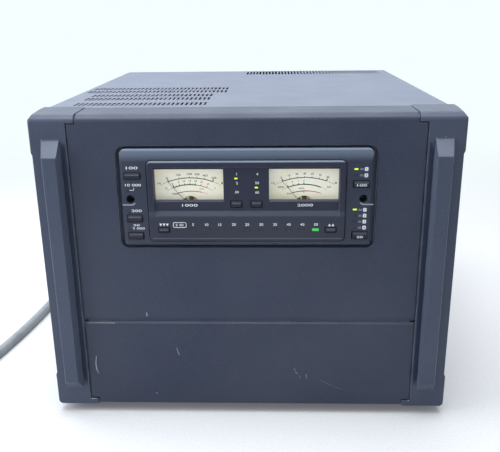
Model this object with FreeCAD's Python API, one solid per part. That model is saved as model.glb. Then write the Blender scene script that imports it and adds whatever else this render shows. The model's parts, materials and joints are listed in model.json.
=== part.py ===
import FreeCAD, Part
import math
import os
from FreeCAD import Vector

# HF linear amplifier: a desktop cabinet with two handle rails, a slotted top
# cover, and a detachable control head held in a recess by two lock screws.
# Millimetres. X runs to the right and Z up, seen from the front. The pieces are
# drawn with Y = 0 at the front faces of the handle rails, growing to the rear,
# and are moved by FRONT_Y as they are written, so that the origin lies on the
# floor under the middle of the part.

# ---------------------------------------------------------------- cabinet
WIDTH = 353.0              # over the handle rails
RAIL_STEP = 6.4            # rails wider than the side covers, on each side
CASE_DEPTH = 378.0         # front faces to the rear panel's outer face
CASE_HEIGHT = 267.8        # bottom of the rails to the top cover
FRONT_DROP = 0.6           # fall of the front pieces' top, from the cover to the bevel
FRONT_BEVEL = 4.6          # height and depth of the bevel along the top edge
FRONT_BEVEL_DEPTH = 4.0
FRONT_BEVEL_R = 2.0
FRAME_DEPTH = 42.6         # front faces to the front edge of the top cover
FOOT_HEIGHT = 11.0
RAIL_REACH = 3.0           # rails below the tray's underside
COVER_T = 1.2              # top and side covers
COVER_REACH = 8.0          # top cover reaches forward over the front panel
TRAY_T = 2.0               # tray and its front wall
REAR_T = 2.0               # rear panel
PANEL_T = 3.0              # walls of the front mouldings
EDGE_R = 5.0               # rounded edge between front and bevel

# ---------------------------------------------------------------- front
RAIL_WIDTH = 30.5
RAIL_WALL = 4.0
RAIL_END = 20.0            # solid ends of the hollow rail
RAIL_CORE = 10.0           # solid front of the hollow rail
RAIL_EDGE_R = 1.6
RAIL_CORNER_R = 4.0        # lower outer corner
CORNER_CUT = 3.6           # width of the facet at the upper outer corner
SEAM = 1.5                 # visible gap between front pieces
SEAM_DEPTH = 1.6           # to the tongue that closes the gap
SEAM_FIT = 0.2             # tongue to the next piece
CAP_REACH = 7.0            # cap and toe reach inwards over the panels
CAP_THICK = 6.8
TOE_THICK = 6.5
SIDE_RELIEF = 1.5          # shallow flat on the rail's outer side
SIDE_RELIEF_LOW = 31.5     # its ends, from the rail's bottom and top
SIDE_RELIEF_HIGH = 32.3
BAR_REACH = 13.0           # handle bar proud of the rail
BAR_INSET = 5.8            # rail's inner side to the bar
BAR_FACE = 11.9
BAR_FLARE = 2.8            # outer side spreads towards the rail
BAR_LOW = 17.8             # its ends, from the rail's bottom and top
BAR_HIGH = 21.0
BAR_SLOPE = 12.6           # height of each sloping end
BAR_FOOT_R = 3.0           # hollow between sloping end and rail
GROOVE_WIDTH = 4.4         # cove beside the bar
GROOVE_DEPTH = 1.6
GROOVE_RAMP = 8.0          # height of its rising ends
GROOVE_STOP = 3.0          # groove ends short of the bar's ends
SPLIT_HEIGHT = 85.0        # gap between upper panel and lower cover
SPLIT_GAP = 1.5
PANEL_BEVEL = 4.0          # height of the upper panel's bevel
COVER_BEVEL = 1.5
BEVEL_DEPTH = 1.4
LOWER_CLEAR = 2.3          # lower cover above the rails' bottom
BOSS_R = 4.0
BOSS_INSET = 20.0

# ---------------------------------------------------------------- covers
LIP = 12.0                 # folded side of the top cover
FLANGE = 14.0
SLOT_WIDTH = 2.3
SLOT_PITCH = 4.065
SLOT_LENGTH = 18.0
SLOT_ROWS = (5.4, 41.4, 67.4, 98.4, 124.4)      # from the cover's front edge
SLOT_SIDE = (17.6, 17.6, 17.6, 5.3, 5.3)        # from its left side
SLOT_MIDDLE = (38.2, 38.2, 38.2, 26.0, 26.0)    # from its middle
STRIP_MIDDLE = 11.0        # rear strip's left end beyond the middle
STRIP_SIDE = 13.1          # and its right end from the side
STRIP_LENGTH = 40.0
STRIP_INSET = 6.5          # slots to the cover's rear edge

# ---------------------------------------------------------------- fasteners
SCREW_R = 1.5
SCREW_HEAD_R = 3.0
SCREW_HEAD_T = 1.6
SCREW_LENGTH = 5.0
HOLE_CLEAR = 0.1           # radial clearance of every screw hole
SIDE_SCREWS = 5
REAR_SCREWS = 3
RAIL_SCREW_INSET = 14.0

# ---------------------------------------------------------------- feet
FOOT_R = 13.0
FOOT_TAPER = 2.0
FOOT_INSET = 30.0
FOOT_BORE = 4.5            # counterbore for the foot's screw

# ---------------------------------------------------------------- control head
HEAD_DROP = 70.1           # top of the cabinet to the middle of the head
HEAD_W = 206.6
HEAD_H = 83.0
HEAD_R = 4.5
HEAD_PROUD = 3.0
HEAD_EDGE_R = 5.0          # rounded bottom of the face
HEAD_TOP_R = 1.2
FACE_SLOPE = 9.0           # height and lean of the strip along the face's top
FACE_LEAN = 2.4
FACE_BEND_R = 20.0
HEAD_SIDE_R = 2.5
HEAD_SPLIT = 6.0           # joint between face and rear case
FACE_T = 2.0
HEAD_WALL = 2.5
CASE_STEP = 0.5            # rear case smaller than the face
RECESS_SIDE_GAP = 3.3
RECESS_END_GAP = 1.9
RECESS_R = 6.0
RECESS_CHAMFER = 0.6
RECESS_LEDGE = 5.0         # ledge behind the front, where the recess narrows
RECESS_FIT = 0.9           # head to the narrow part
HEAD_REAR_GAP = 0.3        # rear case to the recess's back wall
BEZEL_SIDE = 21.9          # raised bezel, from the head's edges
BEZEL_ABOVE = 9.4
BEZEL_BELOW = 5.1
BEZEL_R = 4.0
BEZEL_EDGE_R = 1.6
BEZEL_PROUD = 2.0          # beyond the face
BEZEL_FIT = 0.6
BEZEL_FLANGE = 1.4
BEZEL_FLANGE_T = 1.0
ZONE_SIDE = 5.1            # sunk zone that holds the meters, from the bezel's edges
ZONE_ABOVE = 5.2
ZONE_SINK = 2.5
ZONE_LEDGE = 3.9           # height of the sloping ledge below the zone
CENTRE_STRIP = 37.4        # between the two windows
CAPTION = 9.2              # windows to the zone's lower end
WINDOW_SIDE = 0.2          # windows from the zone's edges
WINDOW_ABOVE = 1.9
WINDOW_H = 26.2
WINDOW_LIP = 1.4           # bevel below each window
WINDOW_T = 1.0
METER_RIM = 1.5
METER_TAIL = 12.35         # housing below the window
DIAL_DEPTH = 3.2           # window's rear face to the dial
DIAL_T = 0.6
PIVOT_DROP = 6.25          # pivot below the window
MOVEMENT_R = 7.5
NEEDLE_LENGTH = 27.0
NEEDLE_WIDTH = 0.45
NEEDLE_T = 0.3
NEEDLE_REST = 40.7         # degrees left of upright
HUB_R = 2.6
HUB_T = 1.4
PIN_R = 0.8
PIN_LENGTH = 3.0
TURN_CLEAR = 0.05          # radial clearance of every turning shaft
BOARD_T = 1.6
BOARD_Y = 12.0             # front of the head's circuit board
BOARD_INSET = 4.8          # board's ends to the head's sides
BOARD_EDGE = 4.0
BOARD_R = 2.0
BOARD_NOTCH = 1.0          # board clear of the lock screw posts
POST_R = 4.0
SWITCH = 6.0
SWITCH_T = 3.5
BUTTON_PROUD = 1.2
BUTTON_FIT = 0.6           # gap round each cap
BUTTON_RIM = 0.8           # retaining flange beyond the hole, above and below
BUTTON_RIM_T = 1.0
BUTTON_PLAY = 0.2
BUTTON_TRAVEL = 1.5
BUTTON_R = 0.8
BUTTON_SLOPE = 1.4         # height of the sloped upper edge of a cap
STEM_R = 1.5
LENS_FIT = 0.05
LENS_PROUD = 0.15
LENS_R = 0.4
LOCK_SIDE = 7.4            # lock screws from the head's sides
LOCK_BORE = 3.5
LOCK_HEAD_R = 3.1
LOCK_HEAD_T = 3.0
LOCK_SLOT = 1.0
LOCK_SHANK_R = 2.0
LOCK_DEPTH = 12.0          # seat of the lock screw behind the rails' front
LOCK_TUBE_R = 4.2
LOCK_GRIP = 3.0            # reach beyond the tray's front wall
LINK_W = 28.0              # plug-in connector behind the head
LINK_H = 6.0
LINK_UP = 17.5             # its height above the head's lower edge
LINK_CLEAR = 1.0

# A place on the head is measured from its left edge, or where negative from its
# right edge; in the meter zone it is measured from the middle. Its height is a
# share of half the head's height on the face, from the middle up; millimetres
# below the zone's upper edge in the zone; and above the bezel's lower edge there.
# name: x, height, width and height of the cap, and the surface it stands in
BUTTONS = {
    "power_button": (9.9, 0.4723, 12.8, 4.9, "face"),
    "tuner_button": (10.1, -0.4024, 12.0, 5.5, "face"),
    "amplifier_button": (10.3, -0.7663, 12.2, 5.3, "face"),
    "input_button": (-9.5, 0.294, 12.6, 5.2, "face"),
    "antenna_button": (-9.3, -0.7566, 12.6, 6.0, "face"),
    "meter_1_button": (-8.3, 31.6, 8.6, 5.0, "zone"),
    "meter_2_button": (8.3, 31.6, 8.6, 5.0, "zone"),
    "band_down_button": (34.3, 10.2, 8.6, 3.8, "bezel"),
    "band_up_button": (-33.7, 10.2, 8.6, 3.8, "bezel"),
}
METER_LENS = (2.6, 1.2)
ROUTE_LENS = (3.2, 1.3)
BAND_LENS = (5.4, 2.2)
PILOT_LENS = (2.4, 1.4)
METER_LENS_X = 8.3
METER_LENS_ROWS = (9.7, 17.4, 25.1)
ROUTE_LENS_X = -14.1
INPUT_LENSES = (0.5976, 0.4699)
ANTENNA_LENSES = (-0.2217, -0.3518, -0.4747, -0.6)
PILOT_LENS_X = 5.9
PILOT_LENSES = (0.1735, -0.2843, -0.6506)
BAND_LENS_Z = 10.4
BAND_START = 47.4          # first band lens from the left edge
BAND_END = 46.2            # last one from the right edge
BAND_COUNT = 11

# ---------------------------------------------------------------- inside
FRONT_ROOM = 12.0          # modules behind the tray's front wall
REAR_ROOM = 45.0           # power supply clear of the rear panel's sockets
SUPPLY_SIDE = 8.0
MODULE_GAP = 11.9          # power supply to the heat sink
SUPPLY_H = 85.0
CORE_W = 60.0
CORE_H = 50.0
CAPACITOR_R = 15.0
CAPACITOR_H = 60.0
CAPACITOR_PITCH = 34.0
SUPPLY_VENTS = 24
SINK_SIDE = 15.9           # heat sink from the side cover
SINK_W = 160.0
SINK_BASE = 8.0
FIN_H = 70.0
FIN_T = 2.0
FIN_PITCH = 8.0
AMP_BOARD_MARGIN = 9.0
TRANSISTOR_W = 10.0
TRANSISTOR_L = 24.0
TRANSISTOR_H = 6.0
TRANSISTOR_FIT = 0.5
PILLAR_R = 3.0
PILLAR_H = 45.0
FILTER_L = 200.0
COIL_R = 14.0
COIL_BORE = 7.0
COIL_H = 9.0
COIL_COLUMNS = 4
COIL_ROWS = 3
FAN = 80.0
FAN_T = 25.0
FAN_DUCT_R = 37.5
FAN_HOLE_PITCH = 71.5
FAN_BOSS_R = 13.0
FAN_BOSS_T = 5.0
FAN_STRUT = 3.0
FAN_LIFT = 0.5             # fan frame above the tray
FAN_ROOM = 10.0            # heat sink to the fans
IMPELLER_R = 36.5
IMPELLER_HUB_R = 14.0
IMPELLER_PLAY = 1.0
BLADES = 7
BLADE_CHORD = 17.0
BLADE_T = 1.5
BLADE_PITCH = 40.0
FAN_SHAFT_R = 1.5
GRILLE_RINGS = 6
GRILLE_SLOT = 3.4
GRILLE_WEB = 2.2
GRILLE_HUB = 7.0
TUNER_W = 58.0
TUNER_PLATE = 3.0
TUNER_LENGTH = 72.0
TUNER_SPACING = 92.0       # one capacitor behind the other
TUNER_SETBACK = 20.0
SHAFT_HEIGHT = 30.0
TUNER_SHAFT_R = 3.0
ROTOR_R = 19.0
PLATE_T = 1.0
PLATE_PITCH = 5.0
ROTOR_PLATES = 10
STATOR_REACH = 22.0
STATOR_ROD_R = 2.0
TIE_R = 3.0
GEAR_MODULE = 1.0
GEAR_TEETH = 54
PINION_TEETH = 12
GEAR_T = 5.0
GEAR_SPREAD = 0.15         # added centre distance
MOTOR_R = 9.0
MOTOR_L = 24.0
MOTOR_SHAFT_R = 1.5
MOTOR_BORE = 6.0
STANDOFF = 6.0
LOGIC_W = 156.0
LOGIC_DROP = 12.7          # middle of the board below the middle of the head
LOGIC_H = 90.0
CHIP = 14.0

# ---------------------------------------------------------------- rear
SOCKET_R = 7.94            # thread of a coaxial socket
SOCKET_L = 11.0
SOCKET_BORE = 5.6
SOCKET_FLANGE = 25.4
SOCKET_FLANGE_T = 1.6
SOCKET_BODY_R = 7.0
SOCKET_BODY_L = 10.0
SOCKET_PIN_R = 2.0
SOCKET_PITCH = 36.0
SOCKET_SIDE = 23.9         # first socket from the side cover
ANTENNA_DROP = 45.8        # rows of sockets below the top of the cabinet
INPUT_DROP = 91.8
JACK_DROP = 127.8
ROUND_SOCKET_R = 9.0
ROUND_SOCKET_L = 4.0
JACK_R = 4.2
JACK_L = 9.0
JACK_COLLAR = 2.0
JACK_PITCH = 18.0
STUD_SIDE = 88.9           # stud and breaker from the side cover
STUD_HEIGHT = 40.0
STUD_R = 2.5
STUD_REACH = 22.0
NUT_R = 4.5
NUT_T = 4.0
WING_SPAN = 24.0
WING_T = 2.4
WING_HUB = 8.0
WING_WALL = 2.5
SEAT_GAP = 0.3             # between a moving piece and its seat
BREAKER_HEIGHT = 84.0
BREAKER_BUSH_R = 5.5
BREAKER_BUSH_L = 7.0
BREAKER_BODY = 22.0
BREAKER_BODY_L = 28.0
BREAKER_BUTTON_R = 3.5
BREAKER_TRAVEL = 5.0

# ---------------------------------------------------------------- mains cord
CORD_R = 5.0
CORD_SIDE = 38.9           # strain relief from the side cover
CORD_HEIGHT = 46.0
RELIEF_R = 9.0
RELIEF_LENGTH = 30.0
RELIEF_COLLAR = 12.0
RELIEF_COLLAR_T = 4.0
COIL_REACH = 59.1          # coil's middle beyond the last point of the cord's route
COIL_MEAN_R = 54.0
COIL_SECTION = 20.6
COIL_HEIGHT = 20.6
PLUG_W = 27.0
PLUG_L = 42.0
PLUG_H = 24.0
BLADE_REACH = 17.0
BLADE_SPACING = 12.6
BLADE_THICK = 1.6
BLADE_WIDTH = 6.3
EARTH_DROP = 6.0           # earth pin below the plug's middle
EARTH_R = 2.4
# the cord's way down to the floor and over it, chosen by hand: steps from the end
# of the strain relief to a point inside the coil
CORD_ROUTE = (
    (0.0, 0.0, 0.0),
    (0.0, 30.0, 0.0),
    (-4.0, 62.0, -10.0),
    (-20.0, 92.0, -26.0),
    (-50.0, 112.0, -37.5),
    (-86.0, 114.0, -40.9),
    (-118.0, 94.0, -40.9),
    (-132.0, 54.0, -40.9),
    (-131.5, -4.0, -40.9),
    (-127.5, -68.0, -40.9),
    (-125.0, -130.0, -40.9),
    (-127.5, -192.0, -40.9),
    (-134.5, -255.0, -40.9),
    (-145.0, -316.0, -40.9),
    (-154.4, -358.0, -40.9),
    (-156.4, -394.0, -40.9),
)

# ---------------------------------------------------------------- worked out
RAIL_Z = FOOT_HEIGHT - RAIL_REACH
TRAY_Z = FOOT_HEIGHT
FOOT_WEB = SCREW_LENGTH - TRAY_T
FLOOR_Z = TRAY_Z + TRAY_T
TOP_Z = RAIL_Z + CASE_HEIGHT
FRONT_TOP_Z = TOP_Z - FRONT_DROP
UNDER_TOP_Z = TOP_Z - COVER_T
CASE_X = WIDTH / 2 - RAIL_STEP
INNER_X = CASE_X - COVER_T
WALL_BACK = FRAME_DEPTH + TRAY_T
REAR_IN = CASE_DEPTH - REAR_T
RAIL_X = WIDTH / 2 - RAIL_WIDTH
PANEL_X = RAIL_X - SEAM
CAP_X = RAIL_X - CAP_REACH
CAP_Z = FRONT_TOP_Z - CAP_THICK
SPLIT_Z = RAIL_Z + SPLIT_HEIGHT
HEAD_Z = TOP_Z - HEAD_DROP
HEAD_X = HEAD_W / 2
HEAD_TOP = HEAD_Z + HEAD_H / 2
HEAD_BOTTOM = HEAD_Z - HEAD_H / 2
HEAD_FRONT = -HEAD_PROUD
FACE_BACK = HEAD_FRONT + FACE_T
BEZEL_FRONT = HEAD_FRONT - BEZEL_PROUD
ZONE_FRONT = BEZEL_FRONT + ZONE_SINK
BEZEL_BACK = FACE_BACK + BEZEL_FLANGE_T
BEZEL_X = HEAD_X - BEZEL_SIDE
BEZEL_TOP = HEAD_TOP - BEZEL_ABOVE
BEZEL_BOTTOM = HEAD_BOTTOM + BEZEL_BELOW
ZONE_X = BEZEL_X - ZONE_SIDE
ZONE_TOP = BEZEL_TOP - ZONE_ABOVE
WINDOW_W = ZONE_X - WINDOW_SIDE - CENTRE_STRIP / 2
WINDOW_TOP = ZONE_TOP - WINDOW_ABOVE
WINDOW_BOTTOM = WINDOW_TOP - WINDOW_H
ZONE_BOTTOM = WINDOW_BOTTOM - CAPTION
METER_X = (CENTRE_STRIP + WINDOW_W) / 2
PIVOT_Z = WINDOW_BOTTOM - PIVOT_DROP
LOCK_X = HEAD_X - LOCK_SIDE
LINK_Z = HEAD_BOTTOM + LINK_UP
RECESS_BACK = FRAME_DEPTH - PANEL_T
HEAD_REAR = RECESS_BACK - HEAD_REAR_GAP
CASE_HALF = HEAD_X - CASE_STEP
METER_FRONT = BEZEL_BACK + WINDOW_T
DIAL_FRONT = METER_FRONT + DIAL_DEPTH
SWITCH_FRONT = BOARD_Y - SWITCH_T
STEM_END = SWITCH_FRONT - BUTTON_TRAVEL - BUTTON_PLAY
BOARD_BACK = BOARD_Y + BOARD_T
PLANES = {
    "face": (HEAD_FRONT, FACE_BACK),
    "zone": (ZONE_FRONT, BEZEL_BACK),
    "bezel": (BEZEL_FRONT, BEZEL_BACK),
}
SINK_X = INNER_X - SINK_SIDE - SINK_W / 2
SUPPLY_X = -INNER_X + TRAY_T + SUPPLY_SIDE
SUPPLY_RIGHT = SINK_X - SINK_W / 2 - MODULE_GAP
TUNER_X = (SUPPLY_X + SUPPLY_RIGHT) / 2
SUPPLY_TOP = FLOOR_Z + SUPPLY_H
MODULE_FRONT = WALL_BACK + FRONT_ROOM
SUPPLY_BACK = REAR_IN - REAR_ROOM
SINK_TOP = FLOOR_Z + FIN_H + SINK_BASE
FAN_FRONT = REAR_IN - FAN_T
FAN_Z = FLOOR_Z + FAN_LIFT + FAN / 2
FAN_CENTRES = (SINK_X - FAN / 2, SINK_X + FAN / 2)
SINK_BACK = FAN_FRONT - FAN_ROOM
SINK_LENGTH = SINK_BACK - MODULE_FRONT
FILTER_Z = SINK_TOP + PILLAR_H
SHAFT_Z = SUPPLY_TOP + SHAFT_HEIGHT
GEAR_R = GEAR_MODULE * GEAR_TEETH / 2
PINION_R = GEAR_MODULE * PINION_TEETH / 2
PINION_Z = SHAFT_Z + GEAR_R + PINION_R + GEAR_SPREAD
TUNER_TOP = PINION_Z + MOTOR_R + TUNER_PLATE
TUNER_FRONTS = (MODULE_FRONT + TUNER_SETBACK, MODULE_FRONT + TUNER_SETBACK + TUNER_SPACING)
SOCKET_X = SOCKET_SIDE - INNER_X
ANTENNA_Z = TOP_Z - ANTENNA_DROP
INPUT_Z = TOP_Z - INPUT_DROP
JACK_Z = TOP_Z - JACK_DROP
STUD_X = STUD_SIDE - INNER_X
BREAKER_X = STUD_X
CORD_X = CORD_SIDE - INNER_X
CORD_START = Vector(CORD_X, CASE_DEPTH + RELIEF_LENGTH, CORD_HEIGHT)
COIL_X = CORD_X + CORD_ROUTE[-1][0] - COIL_REACH
COIL_Y = CORD_START.y + CORD_ROUTE[-1][1]
STUD_Z = RAIL_Z + STUD_HEIGHT
BREAKER_Z = RAIL_Z + BREAKER_HEIGHT
FRONT_Y = -(CASE_DEPTH + max(STUD_REACH, RELIEF_LENGTH) - BAR_REACH) / 2


# ---------------------------------------------------------------- helpers
def spatial(axis, start, u, v):
    """Point of an outline drawn square to the axis."""
    if axis == "X":
        return Vector(start, u, v)
    if axis == "Y":
        return Vector(u, start, v)
    return Vector(u, v, start)


def along(axis, length):
    """Vector of a length along the axis."""
    return spatial(axis, length, 0, 0)


def rect(u, v, radius=0.0):
    """Corners of a rectangle, each with its rounding."""
    return [(u[0], v[0], radius), (u[1], v[0], radius), (u[1], v[1], radius), (u[0], v[1], radius)]


def middle_rect(centre, size, radius=0.0):
    """Corners of a rectangle given by its middle and size."""
    u, v = centre
    w, h = size
    return rect((u - w / 2, u + w / 2), (v - h / 2, v + h / 2), radius)


def prism(axis, span, corners):
    """Solid with a polygon outline whose corners (u, v, radius) may be rounded."""
    points = [spatial(axis, span[0], u, v) for u, v, _ in corners]
    count = len(points)
    starts, ends, edges = [], [], []
    for index, (_, _, radius) in enumerate(corners):
        here = points[index]
        before = (points[index - 1] - here).normalize()
        after = (points[(index + 1) % count] - here).normalize()
        if radius <= 0:
            starts.append(here)
            ends.append(here)
            continue
        half = before.getAngle(after) / 2
        reach = radius / math.tan(half)
        bisector = (before + after).normalize()
        top = here + bisector * (radius / math.sin(half) - radius)
        starts.append(here + before * reach)
        ends.append(here + after * reach)
        edges.append(Part.Arc(starts[-1], top, ends[-1]).toShape())
    for index in range(count):
        leave = ends[index - 1]
        arrive = starts[index]
        if leave.distanceToPoint(arrive) > 1e-6:
            edges.append(Part.LineSegment(leave, arrive).toShape())
    wire = Part.Wire(Part.__sortEdges__(edges))
    return Part.Face(wire).extrude(along(axis, span[1] - span[0]))


def box(x, y, z):
    """Block between two values on each axis."""
    size = (x[1] - x[0], y[1] - y[0], z[1] - z[0])
    return Part.makeBox(*size, Vector(x[0], y[0], z[0]))


def rod(axis, span, centre, radius):
    """Cylinder along an axis through a centre in the other two coordinates."""
    base = spatial(axis, span[0], *centre)
    return Part.makeCylinder(radius, span[1] - span[0], base, along(axis, 1))


def ring(axis, span, centre, outer, inner):
    """Tube with flat ends."""
    return rod(axis, span, centre, outer).cut(rod(axis, span, centre, inner))


def join(shapes):
    """One solid out of several that touch."""
    return shapes[0].multiFuse(shapes[1:]).removeSplitter()


def carve(shape, tools):
    """Shape with the tools cut away."""
    return shape.cut(Part.makeCompound(tools))


def group(solids):
    """Separate solids kept in one node."""
    return Part.makeCompound(solids)


def mirrored(shape):
    """The same piece for the left side."""
    return shape.mirror(Vector(0, 0, 0), Vector(1, 0, 0))


def spaced(low, high, count):
    """Evenly spaced values from low to high."""
    return [low + (high - low) * index / (count - 1) for index in range(count)]


def screw(seat, inward):
    """Pan-head screw whose head sits at the seat and whose shank runs inward."""
    head = Part.makeCylinder(SCREW_HEAD_R, SCREW_HEAD_T, seat, inward * -1)
    shank = Part.makeCylinder(SCREW_R, SCREW_LENGTH, seat, inward)
    slot = Part.makeBox(2 * SCREW_HEAD_R, SCREW_R / 2, SCREW_HEAD_T)
    slot.translate(Vector(-SCREW_HEAD_R, -SCREW_R / 4, SCREW_HEAD_T / 2))
    slot.Placement = FreeCAD.Placement(seat, FreeCAD.Rotation(Vector(0, 0, 1), inward * -1)) * slot.Placement
    return head.fuse(shank).cut(slot)


def screw_hole(seat, inward):
    """Hole for a screw's shank, starting a little outside its seat."""
    start = seat - inward * SCREW_HEAD_T
    length = SCREW_LENGTH + SCREW_HEAD_T + HOLE_CLEAR
    return Part.makeCylinder(SCREW_R + HOLE_CLEAR, length, start, inward)


# ---------------------------------------------------------------- screw places
def both_sides(places):
    """Places (x, y, z, inward x, y, z) with their mirror images."""
    result = []
    for x, y, z, dx, dy, dz in places:
        result.append((Vector(x, y, z), Vector(dx, dy, dz)))
        result.append((Vector(-x, y, z), Vector(-dx, dy, dz)))
    return result


def lip_screws():
    """Through the top cover's lips."""
    rows = spaced(WALL_BACK + FLANGE, REAR_IN - FLANGE, SIDE_SCREWS)
    return both_sides([(CASE_X, y, TOP_Z - LIP / 2, -1, 0, 0) for y in rows])


def tray_screws():
    """Through the side covers into the tray's sides."""
    rows = spaced(WALL_BACK + FLANGE, REAR_IN - FLANGE, SIDE_SCREWS)
    return both_sides([(CASE_X, y, FLOOR_Z + FLANGE / 2, -1, 0, 0) for y in rows])


def rear_screws():
    """Through the rear panel into the side covers' rear flanges."""
    rows = spaced(TRAY_Z + FLANGE, TOP_Z - 2 * FLANGE, REAR_SCREWS)
    return both_sides([(INNER_X - FLANGE / 2, CASE_DEPTH, z, 0, -1, 0) for z in rows])


def front_screws():
    """Through the tray's front wall into the rails and both front mouldings."""
    rail_x = RAIL_X + RAIL_WIDTH / 3
    ends = (RAIL_Z + RAIL_SCREW_INSET, FRONT_TOP_Z - RAIL_SCREW_INSET)
    places = [(rail_x, WALL_BACK, z, 0, -1, 0) for z in ends]
    places += [(x, WALL_BACK, z, 0, -1, 0) for x, z in boss_places()]
    return both_sides(places)


def fan_screws():
    """Through the rear panel into the fan frames' corners."""
    places = []
    for x in FAN_CENTRES:
        for dx in (-FAN_HOLE_PITCH / 2, FAN_HOLE_PITCH / 2):
            for dz in (-FAN_HOLE_PITCH / 2, FAN_HOLE_PITCH / 2):
                places.append((Vector(x + dx, CASE_DEPTH, FAN_Z + dz), Vector(0, -1, 0)))
    return places


def foot_places():
    """Centres of the four feet."""
    x = INNER_X - FOOT_INSET
    rows = (FRAME_DEPTH + FOOT_INSET, CASE_DEPTH - FOOT_INSET)
    return [(side * x, y) for side in (-1, 1) for y in rows]


def foot_screws():
    """Upwards through the feet into the tray."""
    return [(Vector(x, y, TRAY_Z - FOOT_WEB), Vector(0, 0, 1)) for x, y in foot_places()]


def boss_places():
    """Fixing bosses of the upper panel and the lower cover, right half."""
    x = PANEL_X - BOSS_INSET
    upper = (SPLIT_Z + BOSS_INSET, FRONT_TOP_Z - BOSS_INSET)
    return [(x, z) for z in upper] + [(x, SPLIT_Z - BOSS_INSET), (x, RAIL_Z + BOSS_INSET)]


def drill(shape, screws):
    """Shape with the holes of these screws."""
    return carve(shape, [screw_hole(seat, inward) for seat, inward in screws])


# ---------------------------------------------------------------- front pieces
def front_block(x, low, inset=0.0):
    """Block with the cabinet's front face, bevelled front edge and top."""
    corners = [
        (inset, low, 0),
        (inset, FRONT_TOP_Z - FRONT_BEVEL, EDGE_R - inset),
        (FRONT_BEVEL_DEPTH + inset, FRONT_TOP_Z - inset, FRONT_BEVEL_R),
        (FRAME_DEPTH, TOP_Z - inset, 0),
        (FRAME_DEPTH, low, 0),
    ]
    return prism("X", x, corners)


def bosses(low, high):
    """Screw bosses behind a front moulding, between two heights."""
    places = [(x, z) for x, z in boss_places() if low < z < high]
    return [rod("Y", (0.5 * PANEL_T, FRAME_DEPTH), (side * x, z), BOSS_R)
            for x, z in places for side in (-1, 1)]


def recess_corners(grow=0.0):
    """Outline of the recess that holds the control head."""
    size = (HEAD_W + 2 * (RECESS_SIDE_GAP + grow), HEAD_H + 2 * (RECESS_END_GAP + grow))
    return middle_rect((0, HEAD_Z), size, RECESS_R + grow)


def narrow_corners(grow=0.0):
    """Outline of the recess behind its ledge."""
    size = (HEAD_W + 2 * (RECESS_FIT + grow), HEAD_H + 2 * (RECESS_FIT + grow))
    return middle_rect((0, HEAD_Z), size, HEAD_R + RECESS_FIT + grow)


def recess_lip(shape):
    """Chamfered rim of the recess."""
    half = HEAD_X + RECESS_SIDE_GAP + RECESS_CHAMFER
    tall = HEAD_H / 2 + RECESS_END_GAP + RECESS_CHAMFER
    rim = []
    for edge in shape.Edges:
        limits = edge.BoundBox
        flat = abs(limits.YMin) < 1e-4 and abs(limits.YMax) < 1e-4
        inside = limits.XMax < half and limits.XMin > -half
        level = limits.ZMin > HEAD_Z - tall and limits.ZMax < HEAD_Z + tall
        if flat and inside and level:
            rim.append(edge)
    return shape.makeChamfer(RECESS_CHAMFER, rim)


def link_opening(y, grow):
    """Block for the plug-in connector behind the head."""
    size = (LINK_W + 2 * grow, LINK_H + 2 * grow)
    return prism("Y", y, middle_rect((0, LINK_Z), size))


def lock_holes(y, radius):
    """Round holes on the lock screws' axes."""
    return [rod("Y", y, (side * LOCK_X, HEAD_Z), radius) for side in (-1, 1)]


def panel_block(low, grow, inset):
    """Upper panel's outline between the rails and below their caps, set back by the inset."""
    half = PANEL_X + grow
    block = front_block((-half, half), low, inset)
    x = CAP_X - SEAM + grow
    z = (CAP_Z - SEAM + grow, TOP_Z + 1)
    notches = [box(sorted((side * x, side * WIDTH / 2)), (-1, FRAME_DEPTH + 1), z) for side in (-1, 1)]
    return carve(block, notches)


def front_panel():
    low = SPLIT_Z + SPLIT_GAP / 2
    tongue = SEAM - SEAM_FIT
    bevel = [(0, low, 0), (BEVEL_DEPTH, low, 0), (0, low + PANEL_BEVEL, 0)]
    shell = panel_block(low, 0, 0).cut(prism("X", (-PANEL_X, PANEL_X), bevel))
    shell = shell.fuse(panel_block(low, tongue, SEAM_DEPTH).cut(prism("X", (-WIDTH, WIDTH), bevel)))
    wide = PANEL_X - PANEL_T
    sill = box((-wide, wide), (BEVEL_DEPTH, 2 * PANEL_T), (low - SPLIT_GAP + SEAM_FIT, low + PANEL_T))
    narrow = CAP_X - SEAM - PANEL_T
    shoulder = CAP_Z - SEAM - PANEL_T
    hollow = box((-wide, wide), (PANEL_T, FRAME_DEPTH), (low + PANEL_T, shoulder))
    shell = carve(shell, [hollow, front_block((-narrow, narrow), shoulder, PANEL_T)])
    pocket = prism("Y", (PANEL_T / 2, RECESS_LEDGE + PANEL_T), recess_corners(PANEL_T))
    bowl = prism("Y", (RECESS_LEDGE, FRAME_DEPTH), narrow_corners(PANEL_T))
    shell = join([shell, sill, pocket, bowl] + bosses(SPLIT_Z, TOP_Z))
    apron_y = (FRAME_DEPTH - COVER_REACH - SEAM_FIT, FRAME_DEPTH + 1)
    room = [
        prism("Y", (-1, RECESS_LEDGE), recess_corners()),
        prism("Y", (-1, RECESS_BACK), narrow_corners()),
        box((-CAP_X, CAP_X), apron_y, (UNDER_TOP_Z - SEAM_FIT, TOP_Z + 1)),
    ]
    shell = recess_lip(carve(shell, room))
    through = (RECESS_BACK - 1, FRAME_DEPTH + 1)
    holes = lock_holes(through, LOCK_SHANK_R + HOLE_CLEAR)
    holes.append(link_opening(through, LINK_CLEAR))
    return drill(carve(shell, holes), front_screws())


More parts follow.
